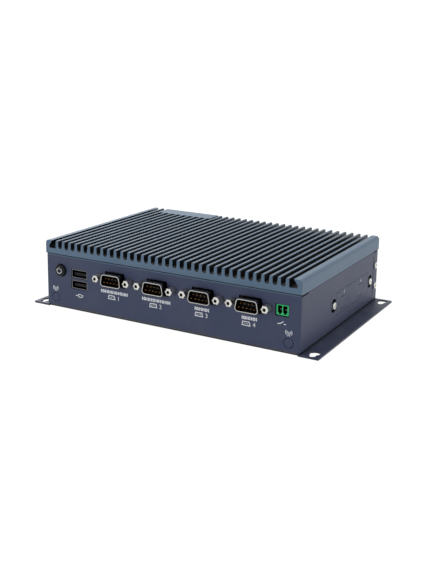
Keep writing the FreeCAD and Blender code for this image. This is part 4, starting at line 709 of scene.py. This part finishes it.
def head_surface(radius, rise, recess_depth, rings, spokes):
    """A cross-recessed pan head on a polar grid, as (points, quads), its base at height 0.

    Rings are at q from 0 to 1. Inside q = 0.8 the radius is radius * q / 0.8 * 0.93 and the height
    falls as rise * (1 - 0.22 * share^3); beyond it the rim turns down to the base. The recess takes
    away recess_depth where a point lies in either arm of the cross, with soft walls.
    """
    share = np.linspace(0, 1, rings)
    crown = np.clip(share / 0.8, 0, 1)
    turn = np.clip((share - 0.8) / 0.2, 0, 1)
    reach = radius * (0.93 * crown + 0.07 * np.sin(turn * np.pi / 2))
    height = rise * (1 - 0.22 * crown ** 3) * (1 - np.where(turn > 0, turn ** 2, 0))
    angles = np.linspace(0, 2 * np.pi, spokes, endpoint=False)
    across = reach[1:, None] * np.cos(angles)
    along = reach[1:, None] * np.sin(angles)
    half_width, half_length, soft = 0.16 * radius, 0.62 * radius, 0.07 * radius

    def arm(first, second):
        """1 inside an arm along first, 0 outside, with soft walls."""
        inside_width = np.clip((half_width - np.abs(second)) / soft + 0.5, 0, 1)
        inside_length = np.clip((half_length - np.abs(first)) / (3 * soft) + 0.5, 0, 1)
        return inside_width * inside_length

    recess = np.maximum(arm(across, along), arm(along, across))
    surface = height[1:, None] - recess_depth * recess * (1 - turn[1:, None])
    points = np.vstack([[[0, 0, height[0] - recess_depth]],
                        np.column_stack([across.ravel(), along.ravel(), surface.ravel()]),
                        [[0, 0, 0]]])
    column = np.arange(spokes)
    after = (column + 1) % spokes
    rows = np.arange(rings - 2)[:, None] * spokes + 1
    quads = np.stack([rows + column, rows + spokes + column, rows + spokes + after, rows + after],
                     axis=-1).reshape(-1, 4)
    rim = (rings - 2) * spokes + 1
    caps = [[0, 1 + start, 1 + end] for start, end in zip(column, after)]
    caps += [[len(points) - 1, rim + end, rim + start] for start, end in zip(column, after)]
    return points, quads.tolist() + caps


def screw_piece(name, places, node):
    """Cross-recessed heads in place of a CAD node, each at a (point, outward direction, turn)."""
    settings = bpy.context.scene.pc_screw
    points, faces = head_surface(settings.head_radius, settings.head_rise, settings.recess_depth,
                                 settings.rings, settings.spokes)
    all_points, all_faces = [], []
    for count, (spot, outward, turn) in enumerate(places):
        spin = Matrix.Rotation(math.radians(turn), 3, "Z")
        aim = np.array(Vector(outward).to_track_quat("Z", "Y").to_matrix() @ spin)
        all_points.append(points @ aim.T + np.array(spot))
        all_faces += [[index + count * len(points) for index in face] for face in faces]
    piece = finished_piece(name, np.vstack(all_points), all_faces, bpy.data.materials["zinc_plate"],
                           smooth=True)
    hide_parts(node)


class PcScrewOperator(bpy.types.Operator):
    """Make the cross-recessed heads of the tab, hatch and earth screws."""

    bl_idname = "pc.make_screw_heads"
    bl_label = "Make Screw Heads"

    def execute(self, context):
        radius = context.scene.pc_screw.head_radius
        low, high = (np.array(corner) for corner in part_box("tab_screws"))
        along, levels = (low[1] + high[1]) / 2, (low[2] + radius, high[2] - radius)
        tabs = [((side * RIGHT_FACE, along, level), (side, 0, 0), 20 + 37 * index)
                for index, (side, level) in enumerate((side, level) for side in (-1, 1) for level in levels)]
        screw_piece("tab_screw_heads", tabs, "tab_screws")
        low, high = (np.array(corner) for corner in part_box("hatch_screws"))
        level = (low[2] + high[2]) / 2
        hatch = [((RIGHT_FACE, low[1] + radius, level), (1, 0, 0), 12),
                 ((RIGHT_FACE, high[1] - radius, level), (1, 0, 0), 64)]
        screw_piece("hatch_screw_heads", hatch, "hatch_screws")
        centre = middle("earth_screw")
        screw_piece("earth_screw_head", [((centre[0], REAR_FACE, centre[2]), (0, 1, 0), 30)], "earth_screw")
        return {"FINISHED"}


def bit_row(centre, width, height, count, stroke):
    """A row of bars and rings in turn, the common sign for serial data."""
    places = np.linspace(-0.5, 0.5, count) * (width - height * 0.5) + centre[0]
    lines = []
    for index, across in enumerate(places):
        if index % 2:
            lines.append(ribbon(rounded_path((across, centre[1]), height * 0.62, height - stroke, 2.6, 24),
                                stroke, INK_THICKNESS, True))
        else:
            lines.append(ribbon([(across, centre[1] - height / 2), (across, centre[1] + height / 2)],
                                stroke, INK_THICKNESS))
    return lines


def port_sign(centre, width, height, stroke):
    """A small D-shaped outline with a row of dots: corners of a slanted box, wide side low."""
    corners = np.array([[-0.5, -0.5], [0.5, -0.5], [0.42, 0.5], [-0.42, 0.5]])[::-1]
    corners = corners * [width, height] + centre
    fine = np.linspace(0, 1, 5, endpoint=False)[:, None]
    path = np.vstack([start + (end - start) * fine for start, end in zip(corners, np.roll(corners, -1, 0))])
    lines = [ribbon(path[::-1], stroke, INK_THICKNESS, True)]
    for across in (-0.24, 0, 0.24):
        dot = np.array([[across - 0.05, 0.0], [across + 0.05, 0.0]]) * [width, height] + centre
        lines.append(ribbon(dot, stroke, INK_THICKNESS))
    return lines


class PcPortMarkOperator(bpy.types.Operator):
    """Print a serial-data row, a port sign and a numeral under each serial port."""

    bl_idname = "pc.print_port_marks"
    bl_label = "Print Port Marks"

    def execute(self, context):
        ink = context.scene.pc_print
        lines, numerals = [], []
        bold = ink.stroke * 1.25
        rows = ((22.5 * MM, 13), (22.5 * MM, 13), (11.0 * MM, 7), (11.0 * MM, 7))
        for number, (width, count) in enumerate(rows, start=1):
            across, _, level = middle(f"serial_shell_{number}") - [0.5 * MM, 0, 0]
            row_level, sign_level = level - 9.2 * MM, level - 12.9 * MM
            lines += bit_row((across, row_level), width, 2.2 * MM, count, bold)
            lines += port_sign((across - 2.2 * MM, sign_level), 5.6 * MM, 2.4 * MM, ink.stroke)
            numerals.append(numeral(str(number), (across + 3.4 * MM, sign_level), ink.numeral_height))
        printed_piece("port_marks", lines, numerals, front_place, HOUSING)
        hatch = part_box("side_hatch")
        level, height = float(hatch[1][2]) - 2.1 * MM, 2.6 * MM
        pair = [numeral("5", (2.5 * MM, level), height), numeral("6", (33.8 * MM, level), height)]
        printed_piece("hatch_marks", [], pair, right_place, HOUSING)
        return {"FINISHED"}


class PcIconOperator(bpy.types.Operator):
    """Print the plug, aerial and contact signs on the front panel."""

    bl_idname = "pc.print_panel_signs"
    bl_label = "Print Panel Signs"

    def execute(self, context):
        stroke = context.scene.pc_print.stroke
        lines = self.plug_sign((middle("front_bus_shell")[0], 11.4 * MM), stroke)
        for side in (-1, 1):
            lines += self.aerial_sign((side * 90.3 * MM, 13.6 * MM), stroke)
        lines += self.contact_sign((middle("switch_header")[0], 19.45 * MM), stroke)
        printed_piece("panel_signs", lines, [], front_place, HOUSING)
        return {"FINISHED"}

    def plug_sign(self, centre, stroke):
        """A plug seen from the side: its body, its narrower mouth and a stub of lead."""
        across, up = centre
        body = rounded_path((across + 0.4 * MM, up), 2.4 * MM, 2.0 * MM, 6.0)
        mouth = rounded_path((across + 2.3 * MM, up), 1.2 * MM, 1.2 * MM, 8.0, 24)
        lead = [(across - 3.0 * MM, up), (across - 0.8 * MM, up)]
        return [ribbon(body, stroke, INK_THICKNESS, True), ribbon(mouth, stroke * 0.8, INK_THICKNESS, True),
                ribbon(lead, stroke, INK_THICKNESS)]

    def aerial_sign(self, centre, stroke):
        """A mast on two legs with two arcs on each side of its tip."""
        across, up = centre
        tip = (across, up + 0.5 * MM)
        lines = [ribbon([(across - 0.7 * MM, up - 1.9 * MM), tip, (across + 0.7 * MM, up - 1.9 * MM)],
                        stroke * 0.8, INK_THICKNESS)]
        for radius in (1.15 * MM, 2.1 * MM):
            for start, end in ((-42, 42), (138, 222)):
                lines.append(ribbon(arc_path(tip, radius, start, end, 14), stroke * 0.8, INK_THICKNESS))
        lines.append(ribbon(arc_path(tip, 0.28 * MM, 0, 345, 16), stroke * 0.7, INK_THICKNESS))
        return lines

    def contact_sign(self, centre, stroke):
        """An open contact: two stubs of wire and a lifted arm."""
        across, up = centre
        base = up - 0.7 * MM
        arm = [(across - 2.9 * MM, base), (across - 1.3 * MM, base), (across + 1.1 * MM, up + 1.0 * MM)]
        stub = [(across + 1.3 * MM, base), (across + 2.9 * MM, base)]
        return [ribbon(path, stroke, INK_THICKNESS) for path in (arm, stub)]


class PcButtonMarkOperator(bpy.types.Operator):
    """Print the on-off sign on the power button's face."""

    bl_idname = "pc.print_button_sign"
    bl_label = "Print Button Sign"

    def execute(self, context):
        centre = middle("power_button")
        face = float(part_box("power_button")[0][1])
        spot = (centre[0], centre[2])
        stroke = 0.42 * MM
        ring = ribbon(arc_path(spot, 1.9 * MM, 130, 410, 44), stroke, INK_THICKNESS)
        stem = [(spot[0], spot[1] + 0.7 * MM), (spot[0], spot[1] + 2.5 * MM)]
        bar = ribbon(stem, stroke, INK_THICKNESS)

        def on_button(marks):
            return np.column_stack([marks[:, 0], face - marks[:, 2], marks[:, 1]])

        printed_piece("button_sign", [ring, bar], [], on_button, BUTTON)
        return {"FINISHED"}


def seen_directly(tree):
    """1 for rays from the camera, and for those it sees mirrored or through glass; 0 for the rest."""
    path = add_node(tree, "ShaderNodeLightPath")
    seen = maths(tree, "ADD", path.outputs["Is Camera Ray"], path.outputs["Is Glossy Ray"], True)
    return maths(tree, "ADD", seen, path.outputs["Is Transmission Ray"], True)


def floor_material(name):
    """A floor that keeps a light shadow: seen directly it is mostly white, otherwise a dark grey."""
    material = bpy.data.materials.new(name)
    material.use_nodes = True
    tree = material.node_tree
    tree.nodes.clear()
    shaded = add_node(tree, "ShaderNodeBsdfDiffuse", {"Color": (0.9, 0.9, 0.9, 1)})
    white = add_node(tree, "ShaderNodeEmission", {"Color": (1, 1, 1, 1), "Strength": 1.2})
    grey = add_node(tree, "ShaderNodeBsdfDiffuse", {"Color": (0.22, 0.22, 0.22, 1)})
    lit = add_node(tree, "ShaderNodeMixShader", {0: 0.8, 1: shaded.outputs[0], 2: white.outputs[0]})
    both = add_node(tree, "ShaderNodeMixShader", {
        0: seen_directly(tree), 1: grey.outputs[0], 2: lit.outputs[0]})
    out = add_node(tree, "ShaderNodeOutputMaterial")
    tree.links.new(both.outputs[0], out.inputs["Surface"])
    return material


def studio_world(ambient):
    """Even light of this strength, which looks plain white where it is seen or mirrored."""
    world = bpy.data.worlds.new("studio_world")
    world.use_nodes = True
    tree = world.node_tree
    tree.nodes.clear()
    strength = maths(tree, "ADD", maths(tree, "MULTIPLY", seen_directly(tree), 1.0 - ambient), ambient)
    background = add_node(tree, "ShaderNodeBackground", {"Color": (1, 1, 1, 1), "Strength": strength})
    out = add_node(tree, "ShaderNodeOutputWorld")
    tree.links.new(background.outputs[0], out.inputs["Surface"])
    bpy.context.scene.world = world


def area_lamp(name, spot, size, power, mirrored=True):
    """A square area lamp that faces the case. If not mirrored, it makes no highlight on a surface."""
    lamp = bpy.data.lights.new(name, "AREA")
    lamp.shape, lamp.size, lamp.energy = "SQUARE", size, power
    light = bpy.data.objects.new(name, lamp)
    light.location = spot
    light.visible_glossy = mirrored
    light.rotation_euler = (Vector(LAMP_TARGET) - Vector(spot)).to_track_quat("-Z", "Y").to_euler()
    bpy.context.scene.collection.objects.link(light)


class PcStudioOperator(bpy.types.Operator):
    """Set up the floor, the lamps, the even light and the camera."""

    bl_idname = "pc.set_up_studio"
    bl_label = "Set Up Studio"

    def execute(self, context):
        studio = context.scene.pc_studio
        context.scene.view_settings.view_transform = "Standard"
        self.lay_floor()
        studio_world(studio.ambient)
        area_lamp("top_lamp", (-0.75, 0.55, 0.95), 0.6, studio.top_power)
        # Mirrored, this low lamp would make the flat fin tops glare when seen from behind.
        area_lamp("front_lamp", (-0.4, -1.25, 0.25), 0.8, studio.front_power, mirrored=False)
        area_lamp("side_lamp", (1.3, 0.1, 0.3), 0.8, studio.side_power)
        self.set_camera(context, studio)
        return {"FINISHED"}

    def lay_floor(self):
        """A disc just under the base plate: rings of radius r at r (cos a, sin a)."""
        rings, spokes, depth = 12, 64, 0.02 * MM
        radii = np.linspace(0.05, 8.0, rings)[:, None]
        angles = np.linspace(0, 2 * np.pi, spokes, endpoint=False)
        points = np.stack([radii * np.cos(angles), radii * np.sin(angles),
                           np.full((rings, spokes), -depth)], axis=-1).reshape(-1, 3)
        column, row = np.arange(spokes), np.arange(rings - 1)[:, None] * spokes
        after = (column + 1) % spokes
        quads = np.stack([row + column, row + spokes + column, row + spokes + after, row + after],
                         axis=-1).reshape(-1, 4).tolist()
        mesh = bpy.data.meshes.new("studio_floor")
        mesh.from_pydata(points.tolist(), [], quads + [list(range(spokes))])
        mesh.materials.append(floor_material("studio_floor"))
        floor = bpy.data.objects.new("studio_floor", mesh)
        bpy.context.scene.collection.objects.link(floor)

    def set_camera(self, context, studio):
        """Put the camera with its frame a little lowered, so that upright edges lean less in the view.

        The anchor lies at its distance ahead of the camera and at its offset from the line of sight.
        """
        turn, dip = studio.azimuth, studio.elevation
        ahead = Vector((-math.sin(turn) * math.cos(dip), math.cos(turn) * math.cos(dip), -math.sin(dip)))
        level = Vector((math.cos(turn), math.sin(turn), 0))
        upright = level.cross(ahead)
        right = math.cos(studio.roll) * level + math.sin(studio.roll) * upright
        up = math.cos(studio.roll) * upright - math.sin(studio.roll) * level
        offset = studio.anchor_offset
        spot = Vector(studio.anchor) - ahead * studio.distance - right * offset[0] - up * offset[1]
        lens = bpy.data.cameras.new("studio_camera")
        lens.sensor_width, lens.lens, lens.shift_y = 36.0, studio.lens, studio.lens_shift
        lens.clip_start, lens.clip_end = 0.01, 50.0
        camera = bpy.data.objects.new("studio_camera", lens)
        camera.matrix_world = Matrix.Translation(spot) @ Matrix((right, up, -ahead)).transposed().to_4x4()
        context.scene.collection.objects.link(camera)
        context.scene.camera = camera


class PcPanel(bpy.types.Panel):
    """Lists the settings and the steps."""

    bl_idname = "VIEW3D_PT_industrial_pc"
    bl_label = "Industrial PC"
    bl_space_type = "VIEW_3D"
    bl_region_type = "UI"
    bl_category = "Industrial PC"

    def draw(self, context):
        for name, group in SETTINGS.items():
            box = self.layout.box()
            for field in group.__annotations__:
                box.prop(getattr(context.scene, name), field)
        for step in STEPS:
            self.layout.operator(step.bl_idname)


STEPS = (PcCoatOperator, PcMetalOperator, PcPlasticOperator, PcScrewOperator, PcPortMarkOperator,
         PcIconOperator, PcButtonMarkOperator, PcStudioOperator)


def register():
    """Register the settings, the operators and the panel."""
    for name, group in SETTINGS.items():
        bpy.utils.register_class(group)
        setattr(bpy.types.Scene, name, PointerProperty(type=group))
    for step in STEPS + (PcPanel,):
        bpy.utils.register_class(step)


def unregister():
    """Undo register."""
    for step in reversed(STEPS + (PcPanel,)):
        bpy.utils.unregister_class(step)
    for name, group in SETTINGS.items():
        delattr(bpy.types.Scene, name)
        bpy.utils.unregister_class(group)


def corners(box):
    """A box's two corners as plain lists of numbers."""
    return [[float(part) for part in corner] for corner in box]


def main():
    """Register and run every step in order."""
    register()
    for step in STEPS:
        section, name = step.bl_idname.split(".")
        getattr(getattr(bpy.ops, section), name)()


if __name__ == "__main__":
    main()
